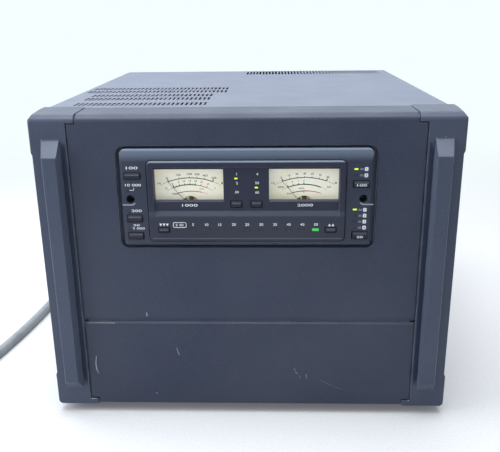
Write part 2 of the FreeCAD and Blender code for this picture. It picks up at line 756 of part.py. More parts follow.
def cover_block(low, grow, inset):
    """Lower cover's outline between the rails and above their toes, set back by the inset."""
    high = SPLIT_Z - SPLIT_GAP / 2
    corners = [
        (inset, low, 0), (inset, high - COVER_BEVEL, 0), (max(inset, BEVEL_DEPTH), high, 0),
        (FRAME_DEPTH, high, 0), (FRAME_DEPTH, low, 0),
    ]
    half = PANEL_X + grow
    x = CAP_X - SEAM + grow
    z = (low - 1, RAIL_Z + TOE_THICK + SEAM - grow)
    notches = [box(sorted((side * x, side * WIDTH / 2)), (-1, FRAME_DEPTH + 1), z) for side in (-1, 1)]
    return carve(prism("X", (-half, half), corners), notches)


def lower_front_cover():
    low = RAIL_Z + LOWER_CLEAR
    high = SPLIT_Z - SPLIT_GAP / 2
    shell = cover_block(low, 0, 0).fuse(cover_block(low, SEAM - SEAM_FIT, SEAM_DEPTH))
    wide = PANEL_X - PANEL_T
    narrow = CAP_X - SEAM - PANEL_T
    shoulder = RAIL_Z + TOE_THICK + SEAM + PANEL_T
    hollows = [
        box((-wide, wide), (PANEL_T, FRAME_DEPTH), (shoulder, high - PANEL_T)),
        box((-narrow, narrow), (PANEL_T, FRAME_DEPTH), (low + PANEL_T, shoulder)),
    ]
    shell = join([carve(shell, hollows)] + bosses(RAIL_Z, SPLIT_Z))
    return drill(shell, front_screws())


def corner_slab():
    """Block outside the facet that widens towards the front on the rail's upper outer corner."""
    outer = WIDTH / 2
    rear = Vector(outer, FRAME_DEPTH, TOP_Z)
    top = Vector(outer - CORNER_CUT, FRONT_BEVEL_DEPTH, FRONT_TOP_Z)
    low = Vector(outer, 0, FRONT_TOP_Z - FRONT_BEVEL)
    outwards = (top - rear).cross(low - rear)
    wide = (-2 * FRAME_DEPTH, 2 * FRAME_DEPTH)
    slab = box(wide, wide, (0, FRONT_BEVEL))
    slab.Placement = FreeCAD.Placement(rear, FreeCAD.Rotation(Vector(0, 0, 1), outwards)) * slab.Placement
    return slab


def rail_body():
    """Rail with rounded outer edges, its cap and its toe."""
    outer = WIDTH / 2
    outline = [(CAP_X, RAIL_Z, 0), (outer, RAIL_Z, RAIL_CORNER_R), (outer, TOP_Z, 0), (CAP_X, TOP_Z, 0)]
    block = front_block((CAP_X, outer), RAIL_Z).common(prism("Y", (0, FRAME_DEPTH), outline))
    rim = []
    for edge in block.Edges:
        limits = edge.BoundBox
        if limits.XMin > outer - 1e-4 and limits.YMin < FRAME_DEPTH - 1e-4:
            rim.append(edge)
    block = block.makeFillet(RAIL_EDGE_R, rim)
    throat = box((CAP_X - 1, RAIL_X), (-1, FRAME_DEPTH + 1), (RAIL_Z + TOE_THICK, CAP_Z))
    low = RAIL_Z + SIDE_RELIEF_LOW
    high = TOP_Z - SIDE_RELIEF_HIGH
    relief = [
        (outer - SIDE_RELIEF, low + SIDE_RELIEF, 0), (outer + 1, low - 2 * SIDE_RELIEF, 0),
        (outer + 1, high + 2 * SIDE_RELIEF, 0), (outer - SIDE_RELIEF, high - SIDE_RELIEF, 0),
    ]
    return carve(block, [throat, prism("Y", (-1, FRAME_DEPTH + 1), relief), corner_slab()])


def handle_bar():
    """Bar standing out of the rail, with sloping ends and a flared outer side."""
    inner = RAIL_X + BAR_INSET
    outer = inner + BAR_FACE
    low = RAIL_Z + BAR_LOW
    high = TOP_Z - BAR_HIGH
    root = PANEL_T
    plan = [(inner, root, 0), (inner, -BAR_REACH, 0.8), (outer, -BAR_REACH, 1.2),
            (outer + BAR_FLARE, 0, 0), (outer + BAR_FLARE, root, 0)]
    span = (low - BAR_FOOT_R, high + BAR_FOOT_R)
    side = [(root, span[0], 0), (0, span[0], 0), (0, low, BAR_FOOT_R), (-BAR_REACH, low + BAR_SLOPE, 1.5),
            (-BAR_REACH, high - BAR_SLOPE, 1.5), (0, high, BAR_FOOT_R), (0, span[1], 0), (root, span[1], 0)]
    bar = prism("Z", span, plan)
    return bar.common(prism("X", (inner - 1, outer + BAR_FLARE + 1), side))


def handle_rail():
    """Right rail; the left one is its mirror image."""
    inner = RAIL_X + BAR_INSET
    low = RAIL_Z + BAR_LOW + GROOVE_STOP
    high = TOP_Z - BAR_HIGH - GROOVE_STOP
    edge = inner - GROOVE_WIDTH
    cove = [(edge, 0, 0), (inner, GROOVE_DEPTH, 0), (inner, -1, 0), (edge, -1, 0)]
    ramps = [(-1, low, 0), (0, low, 0), (GROOVE_DEPTH, low + GROOVE_RAMP, 0),
             (GROOVE_DEPTH, high - GROOVE_RAMP, 0), (0, high, 0), (-1, high, 0)]
    groove = prism("Z", (low, high), cove).common(prism("X", (edge - 1, inner + 1), ramps))
    core_x = (inner + RAIL_WALL, WIDTH / 2 - SIDE_RELIEF - RAIL_WALL)
    core = box(core_x, (RAIL_CORE, FRAME_DEPTH + 1), (RAIL_Z + RAIL_END, FRONT_TOP_Z - RAIL_END))
    rail = carve(join([rail_body(), handle_bar()]), [groove, core])
    return drill(rail, front_screws())


# ---------------------------------------------------------------- covers and chassis
def slot_row(left, right, start, length):
    """Row of slots that run from front to rear."""
    count = int((right - left) // SLOT_PITCH)
    radius = 0.45 * SLOT_WIDTH
    slots = []
    for index in range(count + 1):
        x = left + index * SLOT_PITCH
        outline = rect((x, x + SLOT_WIDTH), (start, start + length), radius)
        slots.append(prism("Z", (UNDER_TOP_Z - 1, TOP_Z + 1), outline))
    return slots


def top_cover():
    half = CASE_X
    sheet = box((-half, half), (FRAME_DEPTH, CASE_DEPTH), (UNDER_TOP_Z, TOP_Z))
    narrow = CAP_X - SEAM_FIT
    apron = box((-narrow, narrow), (FRAME_DEPTH - COVER_REACH, FRAME_DEPTH), (UNDER_TOP_Z, TOP_Z))
    lips = [box(sorted((side * INNER_X, side * half)), (FRAME_DEPTH, CASE_DEPTH), (TOP_Z - LIP, TOP_Z))
            for side in (-1, 1)]
    slots = []
    for start, side, middle in zip(SLOT_ROWS, SLOT_SIDE, SLOT_MIDDLE):
        slots += slot_row(side - CASE_X, -middle, FRAME_DEPTH + start, SLOT_LENGTH)
    strip_start = CASE_DEPTH - STRIP_INSET - STRIP_LENGTH
    slots += slot_row(-STRIP_MIDDLE, CASE_X - STRIP_SIDE, strip_start, STRIP_LENGTH)
    return drill(carve(join([sheet, apron] + lips), slots), lip_screws())


def side_cover():
    """Right side cover with its joggled top edge and rear flange."""
    half = CASE_X
    joint = TOP_Z - LIP - SEAM / 2
    sheet = box((INNER_X, half), (FRAME_DEPTH, CASE_DEPTH), (TRAY_Z, joint))
    joggle = box((INNER_X - COVER_T, INNER_X), (WALL_BACK, REAR_IN), (joint - LIP, UNDER_TOP_Z))
    flange = box((INNER_X - FLANGE, INNER_X), (REAR_IN - COVER_T, REAR_IN), (FLOOR_Z, UNDER_TOP_Z))
    cover = join([sheet, joggle, flange])
    return drill(cover, lip_screws() + tray_screws() + rear_screws())


def chassis_tray():
    base = box((-INNER_X, INNER_X), (FRAME_DEPTH, REAR_IN), (TRAY_Z, FLOOR_Z))
    wall = box((-INNER_X, INNER_X), (FRAME_DEPTH, WALL_BACK), (TRAY_Z, UNDER_TOP_Z))
    sides = [box(sorted((side * (INNER_X - TRAY_T), side * INNER_X)),
                 (WALL_BACK, REAR_IN - 2 * COVER_T), (FLOOR_Z, FLOOR_Z + FLANGE)) for side in (-1, 1)]
    tray = join([base, wall] + sides)
    through = (FRAME_DEPTH - 1, WALL_BACK + 1)
    holes = lock_holes(through, LOCK_SHANK_R + HOLE_CLEAR)
    holes.append(link_opening(through, LINK_CLEAR))
    return drill(carve(tray, holes), tray_screws() + front_screws() + foot_screws())


def grille(x):
    """Curved finger-guard slots in front of one fan."""
    rings = []
    pitch = GRILLE_SLOT + GRILLE_WEB
    for index in range(GRILLE_RINGS):
        inner = GRILLE_HUB + index * pitch
        if inner + GRILLE_SLOT < FAN_DUCT_R:
            rings.append(ring("Y", (REAR_IN - 1, CASE_DEPTH + 1), (x, FAN_Z), inner + GRILLE_SLOT, inner))
    spokes = []
    for turn in (45, -45):
        tall = (FAN_Z - GRILLE_WEB, FAN_Z + GRILLE_WEB)
        spoke = box((x - FAN, x + FAN), (REAR_IN - 2, CASE_DEPTH + 2), tall)
        spoke.rotate(Vector(x, 0, FAN_Z), Vector(0, 1, 0), turn)
        spokes.append(spoke)
    return [carve(slot, spokes) for slot in rings]


def rear_panel():
    plate = box((-INNER_X, INNER_X), (REAR_IN, CASE_DEPTH), (TRAY_Z, UNDER_TOP_Z))
    through = (REAR_IN - 1, CASE_DEPTH + 1)
    cuts = [rod("Y", through, place, SOCKET_BODY_R + HOLE_CLEAR) for place in socket_places()]
    cuts += [rod("Y", through, place, ROUND_SOCKET_R - 1) for place in round_socket_places()]
    cuts += [rod("Y", through, place, JACK_R - 1) for place in jack_places()]
    cuts.append(rod("Y", through, (STUD_X, STUD_Z), STUD_R + HOLE_CLEAR))
    cuts.append(rod("Y", through, (BREAKER_X, BREAKER_Z), BREAKER_BUSH_R + HOLE_CLEAR))
    cuts.append(rod("Y", through, (CORD_X, CORD_HEIGHT), RELIEF_R + HOLE_CLEAR))
    for x in FAN_CENTRES:
        cuts += grille(x)
    return drill(carve(plate, cuts), rear_screws() + fan_screws())


def rubber_feet():
    feet = []
    for x, y in foot_places():
        foot = Part.makeCone(FOOT_R - FOOT_TAPER, FOOT_R, FOOT_HEIGHT, Vector(x, y, 0))
        bore = rod("Z", (-1, TRAY_Z - FOOT_WEB), (x, y), FOOT_BORE)
        feet.append(drill(foot.cut(bore), foot_screws()))
    return group(feet)


def case_screws():
    places = lip_screws() + tray_screws() + rear_screws() + front_screws() + fan_screws() + foot_screws()
    return group([screw(seat, inward) for seat, inward in places])


# ---------------------------------------------------------------- control head
def head_place(x, z, plane):
    """Middle of a button or lens that stands in one of the head's surfaces."""
    if plane == "zone":
        return x, ZONE_TOP - z
    across = x - HEAD_X if x > 0 else x + HEAD_X
    if plane == "face":
        return across, HEAD_Z + z * HEAD_H / 2
    return across, BEZEL_BOTTOM + z


def lens_places():
    """Indicator lenses: kind, middle, size and surface, lit ones first."""
    top, second, third = METER_LENS_ROWS
    meters = [
        ("lit", -METER_LENS_X, top), ("lit", METER_LENS_X, second), ("dark", -METER_LENS_X, second),
        ("dark", -METER_LENS_X, third), ("dark", METER_LENS_X, top), ("dark", METER_LENS_X, third),
    ]
    places = [(kind, head_place(x, z, "zone"), METER_LENS, "zone") for kind, x, z in meters]
    for heights in (INPUT_LENSES, ANTENNA_LENSES):
        for z in heights:
            kind = "lit" if z == heights[0] else "dark"
            places.append((kind, head_place(ROUTE_LENS_X, z, "face"), ROUTE_LENS, "face"))
    places += [("dark", head_place(PILOT_LENS_X, z, "face"), PILOT_LENS, "face") for z in PILOT_LENSES]
    band = spaced(BAND_START - HEAD_X, HEAD_X - BAND_END, BAND_COUNT)
    height = BEZEL_BOTTOM + BAND_LENS_Z
    places += [("dark", (x, height), BAND_LENS, "bezel") for x in band[:-1]]
    return places + [("band", (band[-1], height), BAND_LENS, "bezel")]


def lenses(kind):
    """Light pipes of one kind, from the front to the circuit board."""
    solids = []
    for sort, place, size, plane in lens_places():
        if sort == kind:
            front = PLANES[plane][0] - LENS_PROUD
            solids.append(prism("Y", (front, BOARD_Y), middle_rect(place, size, LENS_R)))
    return group(solids)


def front_openings(planes):
    """Holes for the buttons and lenses that stand in these surfaces."""
    tools = []
    span = (BEZEL_FRONT - 1, HEAD_SPLIT)
    for x, z, w, h, plane in BUTTONS.values():
        if plane in planes:
            size = (w + 2 * BUTTON_FIT, h + 2 * BUTTON_FIT)
            tools.append(prism("Y", span, middle_rect(head_place(x, z, plane), size, BUTTON_R)))
    for _, place, (w, h), plane in lens_places():
        if plane in planes:
            size = (w + 2 * LENS_FIT, h + 2 * LENS_FIT)
            tools.append(prism("Y", span, middle_rect(place, size, LENS_R)))
    return tools


def bezel_corners(grow):
    """Outline of the raised bezel."""
    half = BEZEL_X + grow
    return rect((-half, half), (BEZEL_BOTTOM - grow, BEZEL_TOP + grow), BEZEL_R + grow)


def controller_face():
    half = HEAD_X
    span = (HEAD_BOTTOM, HEAD_TOP)
    shell = prism("Y", (HEAD_FRONT, HEAD_SPLIT), rect((-half, half), span, HEAD_R))
    side = [
        (HEAD_FRONT, HEAD_BOTTOM, HEAD_EDGE_R), (HEAD_SPLIT, HEAD_BOTTOM, 0), (HEAD_SPLIT, HEAD_TOP, 0),
        (HEAD_FRONT + FACE_LEAN, HEAD_TOP, HEAD_TOP_R), (HEAD_FRONT, HEAD_TOP - FACE_SLOPE, FACE_BEND_R),
    ]
    plan = [
        (-half, HEAD_FRONT, HEAD_SIDE_R), (half, HEAD_FRONT, HEAD_SIDE_R),
        (half, HEAD_SPLIT, 0), (-half, HEAD_SPLIT, 0),
    ]
    shell = shell.common(prism("X", (-half - 1, half + 1), side))
    shell = shell.common(prism("Z", (HEAD_BOTTOM - 1, HEAD_TOP + 1), plan))
    wall = HEAD_WALL
    tall = (HEAD_BOTTOM + wall + 1, HEAD_TOP - FACE_SLOPE + FACE_T)
    inside = rect((wall - half, half - wall), tall, HEAD_R - wall)
    shell = shell.cut(prism("Y", (FACE_BACK, HEAD_SPLIT), inside))
    shell = join([shell] + lock_holes((FACE_BACK - FACE_T / 2, LOCK_DEPTH), LOCK_TUBE_R))
    cuts = lock_holes((HEAD_FRONT - 1, LOCK_DEPTH + 1), LOCK_BORE)
    cuts.append(prism("Y", (HEAD_FRONT - 1, HEAD_SPLIT), bezel_corners(BEZEL_FIT)))
    return carve(shell, cuts + front_openings(("face",)))


def controller_case():
    low = HEAD_BOTTOM + CASE_STEP
    high = HEAD_TOP - CASE_STEP
    wall = HEAD_WALL
    outer = rect((-CASE_HALF, CASE_HALF), (low, high), HEAD_R)
    inside = rect((wall - CASE_HALF, CASE_HALF - wall), (low + wall, high - wall), HEAD_R - wall)
    shell = prism("Y", (HEAD_SPLIT, HEAD_REAR), outer)
    shell = shell.cut(prism("Y", (HEAD_SPLIT, HEAD_REAR - wall), inside))
    posts = lock_holes((LOCK_DEPTH, HEAD_REAR - wall / 2), LOCK_TUBE_R)
    posts += [rod("Y", (BOARD_BACK, HEAD_REAR - wall / 2), place, POST_R) for place in board_posts()]
    shell = join([shell] + posts)
    cuts = lock_holes((LOCK_DEPTH - 1, HEAD_REAR + 1), LOCK_SHANK_R + HOLE_CLEAR)
    cuts.append(link_opening((HEAD_REAR - wall - 1, HEAD_REAR + 1), LINK_CLEAR))
    return carve(shell, cuts)


def board_half():
    """Half the width and height of the head's circuit board."""
    return HEAD_X - BOARD_INSET, HEAD_H / 2 - HEAD_WALL - BOARD_EDGE


def board_posts():
    """Posts that carry the head's circuit board."""
    half, tall = board_half()
    return [(x * (half - POST_R), HEAD_Z + z * (tall - POST_R)) for x in (-1, 1) for z in (-1, 1)]


def front_rim(shape, y):
    """Edges that lie in one plane across the part."""
    return [edge for edge in shape.Edges
            if abs(edge.BoundBox.YMin - y) < 1e-4 and abs(edge.BoundBox.YMax - y) < 1e-4]


def meter_bezel():
    frame = prism("Y", (BEZEL_FRONT, BEZEL_BACK), bezel_corners(0))
    frame = frame.makeFillet(BEZEL_EDGE_R, front_rim(frame, BEZEL_FRONT))
    flange = prism("Y", (FACE_BACK, BEZEL_BACK), bezel_corners(BEZEL_FLANGE))
    ledge = ZONE_BOTTOM - ZONE_LEDGE
    zone = [
        (BEZEL_FRONT - 1, ZONE_TOP, 0), (ZONE_FRONT, ZONE_TOP, 0), (ZONE_FRONT, ZONE_BOTTOM, 0),
        (BEZEL_FRONT, ledge, 0), (BEZEL_FRONT - 1, ledge, 0),
    ]
    cuts = [prism("X", (-ZONE_X, ZONE_X), zone)]
    for x in (-METER_X, METER_X):
        window = rect((x - WINDOW_W / 2, x + WINDOW_W / 2), (WINDOW_BOTTOM, WINDOW_TOP))
        cuts.append(prism("Y", (BEZEL_FRONT - 1, BEZEL_BACK + 1), window))
        lip = [
            (ZONE_FRONT, WINDOW_BOTTOM - WINDOW_LIP, 0), (ZONE_FRONT, WINDOW_BOTTOM, 0),
            (FACE_BACK, WINDOW_BOTTOM, 0),
        ]
        cuts.append(prism("X", (x - WINDOW_W / 2, x + WINDOW_W / 2), lip))
    return carve(join([frame, flange]), cuts + front_openings(("zone", "bezel")))


def meter_outline(x, shrink=0.0):
    """Outline of one meter's housing, or of its inside."""
    half = WINDOW_W / 2 + METER_RIM - shrink
    low = WINDOW_BOTTOM - METER_TAIL + shrink
    high = WINDOW_TOP + METER_RIM - shrink
    return rect((x - half, x + half), (low, high))


def meter_windows():
    return group([prism("Y", (BEZEL_BACK, METER_FRONT), meter_outline(x)) for x in (-METER_X, METER_X)])


def meter_housings():
    housings = []
    dial_back = DIAL_FRONT + DIAL_T
    for x in (-METER_X, METER_X):
        pivot = (x, PIVOT_Z)
        body = prism("Y", (METER_FRONT, BOARD_Y), meter_outline(x))
        body = body.cut(prism("Y", (METER_FRONT - 1, dial_back), meter_outline(x, METER_RIM)))
        boss = rod("Y", (DIAL_FRONT - DIAL_T, dial_back + 1), pivot, MOVEMENT_R)
        boss = boss.common(prism("Y", (METER_FRONT, BOARD_Y), meter_outline(x, METER_RIM)))
        bearing = rod("Y", (METER_FRONT, dial_back + PIN_LENGTH), pivot, PIN_R + TURN_CLEAR)
        housings.append(join([body, boss]).cut(bearing))
    return group(housings)


def meter_dials():
    dials = []
    for x in (-METER_X, METER_X):
        dial = prism("Y", (DIAL_FRONT, DIAL_FRONT + DIAL_T), meter_outline(x, METER_RIM))
        hole = rod("Y", (DIAL_FRONT - 1, BOARD_Y), (x, PIVOT_Z), MOVEMENT_R + 2 * TURN_CLEAR)
        dials.append(dial.cut(hole))
    return group(dials)


def needle(x):
    """Pointer, hub and pivot pin, resting at the left end of its scale."""
    hub_back = DIAL_FRONT - DIAL_T - BUTTON_PLAY
    hub_front = hub_back - HUB_T
    hub = rod("Y", (hub_front, hub_back), (x, PIVOT_Z), HUB_R)
    pin = rod("Y", (hub_front, DIAL_FRONT + PIN_LENGTH), (x, PIVOT_Z), PIN_R)
    root = NEEDLE_WIDTH / 2
    tip = PIVOT_Z + NEEDLE_LENGTH
    outline = [(x - root, PIVOT_Z, 0), (x + root, PIVOT_Z, 0), (x + root / 2, tip, 0), (x - root / 2, tip, 0)]
    middle = (hub_front + hub_back) / 2
    blade = prism("Y", (middle - NEEDLE_T / 2, middle + NEEDLE_T / 2), outline)
    pointer = join([hub, pin, blade])
    pointer.rotate(Vector(x, 0, PIVOT_Z), Vector(0, 1, 0), -NEEDLE_REST)
    return pointer


def controller_board():
    half, tall = board_half()
    span = (BOARD_Y, BOARD_BACK)
    board = prism("Y", span, middle_rect((0, HEAD_Z), (2 * half, 2 * tall), BOARD_R))
    reach = LOCK_TUBE_R + BOARD_NOTCH
    notches = [prism("Y", span, middle_rect((side * (LOCK_X + reach), HEAD_Z), (4 * reach, 2 * reach)))
               for side in (-1, 1)]
    pieces = [carve(board, notches)]
    for x, z, _, _, plane in BUTTONS.values():
        switch = middle_rect(head_place(x, z, plane), (SWITCH, SWITCH))
        pieces.append(prism("Y", (SWITCH_FRONT, BOARD_Y), switch))
    pieces.append(link_opening((BOARD_BACK, HEAD_REAR - 2 * HEAD_WALL), 0))
    return group(pieces)


def button(name):
    """Cap, retaining flange and stem of one push button."""
    x, z, w, h, plane = BUTTONS[name]
    front, back = PLANES[plane]
    centre = head_place(x, z, plane)
    face = front - BUTTON_PROUD
    rim = back + BUTTON_PLAY
    low = centre[1] - h / 2
    high = centre[1] + h / 2
    cap = prism("Y", (face, rim), middle_rect(centre, (w, h), BUTTON_R))
    side = [
        (face, low, BUTTON_R), (rim, low, 0), (rim, high, 0),
        (front, high, 0), (face, high - BUTTON_SLOPE, 0),
    ]
    cap = cap.common(prism("X", (centre[0] - w, centre[0] + w), side))
    size = (w, h + 2 * (BUTTON_FIT + BUTTON_RIM))
    flange = prism("Y", (rim, rim + BUTTON_RIM_T), middle_rect(centre, size, BUTTON_R))
    stem = rod("Y", (rim, STEM_END), centre, STEM_R)
    return join([cap, flange, stem])


def lock_screw(side):
    """Captive screw that holds the head in its recess."""
    centre = (side * LOCK_X, HEAD_Z)
    top = LOCK_DEPTH - LOCK_HEAD_T
    head = rod("Y", (top, LOCK_DEPTH), centre, LOCK_HEAD_R)
    shank = rod("Y", (LOCK_DEPTH - 1, WALL_BACK + LOCK_GRIP), centre, LOCK_SHANK_R)
    slot = prism("Y", (top - 1, top + LOCK_SLOT), middle_rect(centre, (2 * LOCK_BORE, LOCK_SLOT)))
    return join([head, shank]).cut(slot)


# ---------------------------------------------------------------- inside
def power_supply():
    x = (SUPPLY_X, SUPPLY_RIGHT)
    y = (MODULE_FRONT, SUPPLY_BACK)
    wall = COVER_T
    inside = box((x[0] + wall, x[1] - wall), (y[0] + wall, y[1] - wall), (FLOOR_Z + wall, SUPPLY_TOP - wall))
    shell = box(x, y, (FLOOR_Z, SUPPLY_TOP)).cut(inside)
    tall = (FLOOR_Z + FLANGE, SUPPLY_TOP - FLANGE)
    vents = []
    for row in spaced(y[0] + FLANGE, y[1] - FLANGE, SUPPLY_VENTS):
        vents.append(box((x[1] - 2 * wall, x[1] + 1), (row, row + SLOT_WIDTH), tall))
    low = FLOOR_Z + wall
    length = y[1] - y[0]
    core_x = (TUNER_X - CORE_W / 2, TUNER_X + CORE_W / 2)
    core = box(core_x, (y[0] + 0.6 * length, y[0] + 0.85 * length), (low, low + CORE_H))
    cans = [rod("Z", (low, low + CAPACITOR_H), (TUNER_X + dx, y[0] + 0.25 * length), CAPACITOR_R)
            for dx in (-CAPACITOR_PITCH, 0, CAPACITOR_PITCH)]
    return group([carve(shell, vents), core] + cans)


def heat_sink():
    left = SINK_X - SINK_W / 2
    base = box((left, left + SINK_W), (MODULE_FRONT, SINK_BACK), (FLOOR_Z + FIN_H, SINK_TOP))
    count = int((SINK_W - FIN_T) // FIN_PITCH) + 1
    start = SINK_X - (count - 1) * FIN_PITCH / 2 - FIN_T / 2
    fins = [box((start + index * FIN_PITCH, start + index * FIN_PITCH + FIN_T),
                (MODULE_FRONT, SINK_BACK), (FLOOR_Z, FLOOR_Z + FIN_H + 0.5 * SINK_BASE))
            for index in range(count)]
    return join([base] + fins)


def amp_board_places():
    """Middle of each power-amplifier board, and its size."""
    width = (SINK_W - 3 * AMP_BOARD_MARGIN) / 2
    length = (SINK_LENGTH - 3 * AMP_BOARD_MARGIN) / 2
    middle_y = (MODULE_FRONT + SINK_BACK) / 2
    dx = (width + AMP_BOARD_MARGIN) / 2
    dy = (length + AMP_BOARD_MARGIN) / 2
    return [(SINK_X + i * dx, middle_y + j * dy) for i in (-1, 1) for j in (-1, 1)], width, length


def transistor_places():
    """Two transistors on each board."""
    boards, width, _ = amp_board_places()
    return [(x + side * width / 4, y) for x, y in boards for side in (-1, 1)]


def pa_boards():
    places, width, length = amp_board_places()
    size = (TRANSISTOR_W + 2 * TRANSISTOR_FIT, TRANSISTOR_L + 2 * TRANSISTOR_FIT)
    span = (SINK_TOP, SINK_TOP + BOARD_T)
    through = (SINK_TOP - 1, SINK_TOP + TRANSISTOR_H)
    wells = [prism("Z", through, middle_rect(place, size)) for place in transistor_places()]
    return group([carve(prism("Z", span, middle_rect(place, (width, length))), wells) for place in places])


def pa_transistors():
    size = (TRANSISTOR_W, TRANSISTOR_L)
    return group([prism("Z", (SINK_TOP, SINK_TOP + TRANSISTOR_H), middle_rect(place, size))
                  for place in transistor_places()])


def filter_board():
    inset = AMP_BOARD_MARGIN / 2
    left = SINK_X - SINK_W / 2
    middle_y = (MODULE_FRONT + SINK_BACK) / 2
    y = (middle_y - FILTER_L / 2, middle_y + FILTER_L / 2)
    board = box((left, left + SINK_W), y, (FILTER_Z, FILTER_Z + BOARD_T))
    columns = (left + inset, left + SINK_W - inset)
    corners = [(x, row) for x in columns for row in (y[0] + inset, y[1] - inset)]
    pillars = [rod("Z", (SINK_TOP, FILTER_Z), place, PILLAR_R) for place in corners]
    return group([board] + pillars)


def filter_coils():
    """Ring coils standing flat on the filter board."""
    middle_y = (MODULE_FRONT + SINK_BACK) / 2
    low = FILTER_Z + BOARD_T
    margin = 2 * COIL_R
    columns = spaced(SINK_X - SINK_W / 2 + margin, SINK_X + SINK_W / 2 - margin, COIL_COLUMNS)
    rows = spaced(middle_y - FILTER_L / 2 + margin, middle_y + FILTER_L / 2 - margin, COIL_ROWS)
    return group([ring("Z", (low, low + COIL_H), (x, y), COIL_R, COIL_BORE) for x in columns for y in rows])


def fan_frame(x):
    """Square frame with a round duct, four struts and the bearing boss."""
    centre = (x, FAN_Z)
    half = FAN / 2
    block = box((x - half, x + half), (FAN_FRONT, REAR_IN), (FAN_Z - half, FAN_Z + half))
    frame = block.cut(rod("Y", (FAN_FRONT - 1, REAR_IN + 1), centre, FAN_DUCT_R))
    boss = rod("Y", (REAR_IN - FAN_BOSS_T, REAR_IN), centre, FAN_BOSS_R)
    struts = []
    tall = (FAN_Z - FAN_STRUT / 2, FAN_Z + FAN_STRUT / 2)
    for turn in (0, 90):
        strut = box((x - half + 1, x + half - 1), (REAR_IN - FAN_BOSS_T, REAR_IN - 1), tall)
        strut.rotate(Vector(x, 0, FAN_Z), Vector(0, 1, 0), turn)
        struts.append(strut)
    frame = join([frame, boss] + struts)
    bore = rod("Y", (FAN_FRONT, REAR_IN - 1), centre, FAN_SHAFT_R + TURN_CLEAR)
    return drill(frame.cut(bore), fan_screws())


def fan_frames():
    return group([fan_frame(x) for x in FAN_CENTRES])


def fan_impeller(x):
    """Hub, pitched blades and shaft of one fan."""
    centre = (x, FAN_Z)
    front = FAN_FRONT + IMPELLER_PLAY
    back = REAR_IN - FAN_BOSS_T - IMPELLER_PLAY
    hub = rod("Y", (front, back), centre, IMPELLER_HUB_R)
    shaft = rod("Y", (front, REAR_IN - 2), centre, FAN_SHAFT_R)
    middle = (front + back) / 2
    blades = []
    for index in range(BLADES):
        blade = box((x - BLADE_T / 2, x + BLADE_T / 2), (middle - BLADE_CHORD / 2, middle + BLADE_CHORD / 2),
                    (FAN_Z + IMPELLER_HUB_R / 2, FAN_Z + IMPELLER_R + 2))
        blade.rotate(Vector(x, middle, FAN_Z), Vector(0, 0, 1), BLADE_PITCH)
        blade.rotate(Vector(x, middle, FAN_Z), Vector(0, 1, 0), 360.0 * index / BLADES)
        blades.append(blade)
    disc = rod("Y", (front, back), centre, IMPELLER_R)
    return join([hub, shaft] + [blade.common(disc) for blade in blades])


def gear(teeth, y, centre, turn):
    """Straight gear with trapezoid teeth; one tooth points along the turn, in degrees."""
    pitch_r = GEAR_MODULE * teeth / 2
    root = pitch_r - 1.25 * GEAR_MODULE
    tip = pitch_r + 0.85 * GEAR_MODULE
    step = 2 * math.pi / teeth
    corners = []
    for index in range(teeth):
        middle = math.radians(turn) + index * step
        for share, radius in ((-0.3, root), (-0.1, tip), (0.1, tip), (0.3, root)):
            angle = middle + share * step
            corners.append((centre[0] + radius * math.cos(angle), centre[1] + radius * math.sin(angle), 0))
    return prism("Y", y, corners)


def tuner_capacitor_frames():
    """End plates with tie rods, and the fixed plates, of both variable capacitors."""
    solids = []
    wide = (TUNER_X - TUNER_W / 2, TUNER_X + TUNER_W / 2)
    low = SUPPLY_TOP + TIE_R + 1
    edge = TUNER_W / 2 - TIE_R - 1
    for front in TUNER_FRONTS:
        back = front + TUNER_LENGTH
        ends = (front, back - TUNER_PLATE)
        plates = [box(wide, (y, y + TUNER_PLATE), (SUPPLY_TOP, TUNER_TOP)) for y in ends]
        ties = [rod("Y", (front + 1, back - 1), (TUNER_X + side * edge, low), TIE_R) for side in (-1, 1)]
        bores = [
            rod("Y", (front - 1, back + 1), (TUNER_X, SHAFT_Z), TUNER_SHAFT_R + TURN_CLEAR),
            rod("Y", (front - 1, front + TUNER_PLATE + 1), (TUNER_X, PINION_Z), MOTOR_SHAFT_R + TURN_CLEAR),
        ]
        solids.append(carve(join(plates + ties), bores))
        solids.append(stator(front))
    return group(solids)


def plate_places(front):
    """Front faces of the moving plates; a fixed plate stands half a pitch behind each."""
    start = front + (TUNER_LENGTH - ROTOR_PLATES * PLATE_PITCH + PLATE_T) / 2
    return [start + index * PLATE_PITCH for index in range(ROTOR_PLATES)]


def stator(front):
    """Fixed plates above the shaft, carried by two rods between the end plates."""
    high = SHAFT_Z + STATOR_REACH
    wide = (TUNER_X - STATOR_REACH, TUNER_X + STATOR_REACH)
    plates = []
    for y in plate_places(front):
        back = y + PLATE_PITCH / 2
        plates.append(box(wide, (back, back + PLATE_T), (SHAFT_Z + PLATE_T, high)))
    inner = (front + TUNER_PLATE, front + TUNER_LENGTH - TUNER_PLATE)
    edge = STATOR_REACH - STATOR_ROD_R
    rods = [rod("Y", inner, (TUNER_X + side * edge, high - STATOR_ROD_R), STATOR_ROD_R) for side in (-1, 1)]
    return join(plates + rods).cut(rod("Y", inner, (TUNER_X, SHAFT_Z), 2 * TUNER_SHAFT_R))


def tuner_rotor(front):
    """Shaft with half-round plates and its gear, in front of the end plate."""
    gear_back = front - BUTTON_PLAY
    back = front + TUNER_LENGTH
    centre = (TUNER_X, SHAFT_Z)
    shaft = rod("Y", (gear_back - GEAR_T, back + 1), centre, TUNER_SHAFT_R)
    lower = box((TUNER_X - ROTOR_R, TUNER_X + ROTOR_R), (front, back), (SHAFT_Z - ROTOR_R, SHAFT_Z))
    plates = [rod("Y", (y, y + PLATE_T), centre, ROTOR_R).common(lower) for y in plate_places(front)]
    wheel = gear(GEAR_TEETH, (gear_back - GEAR_T, gear_back), centre, 90)
    return join([shaft, wheel] + plates)


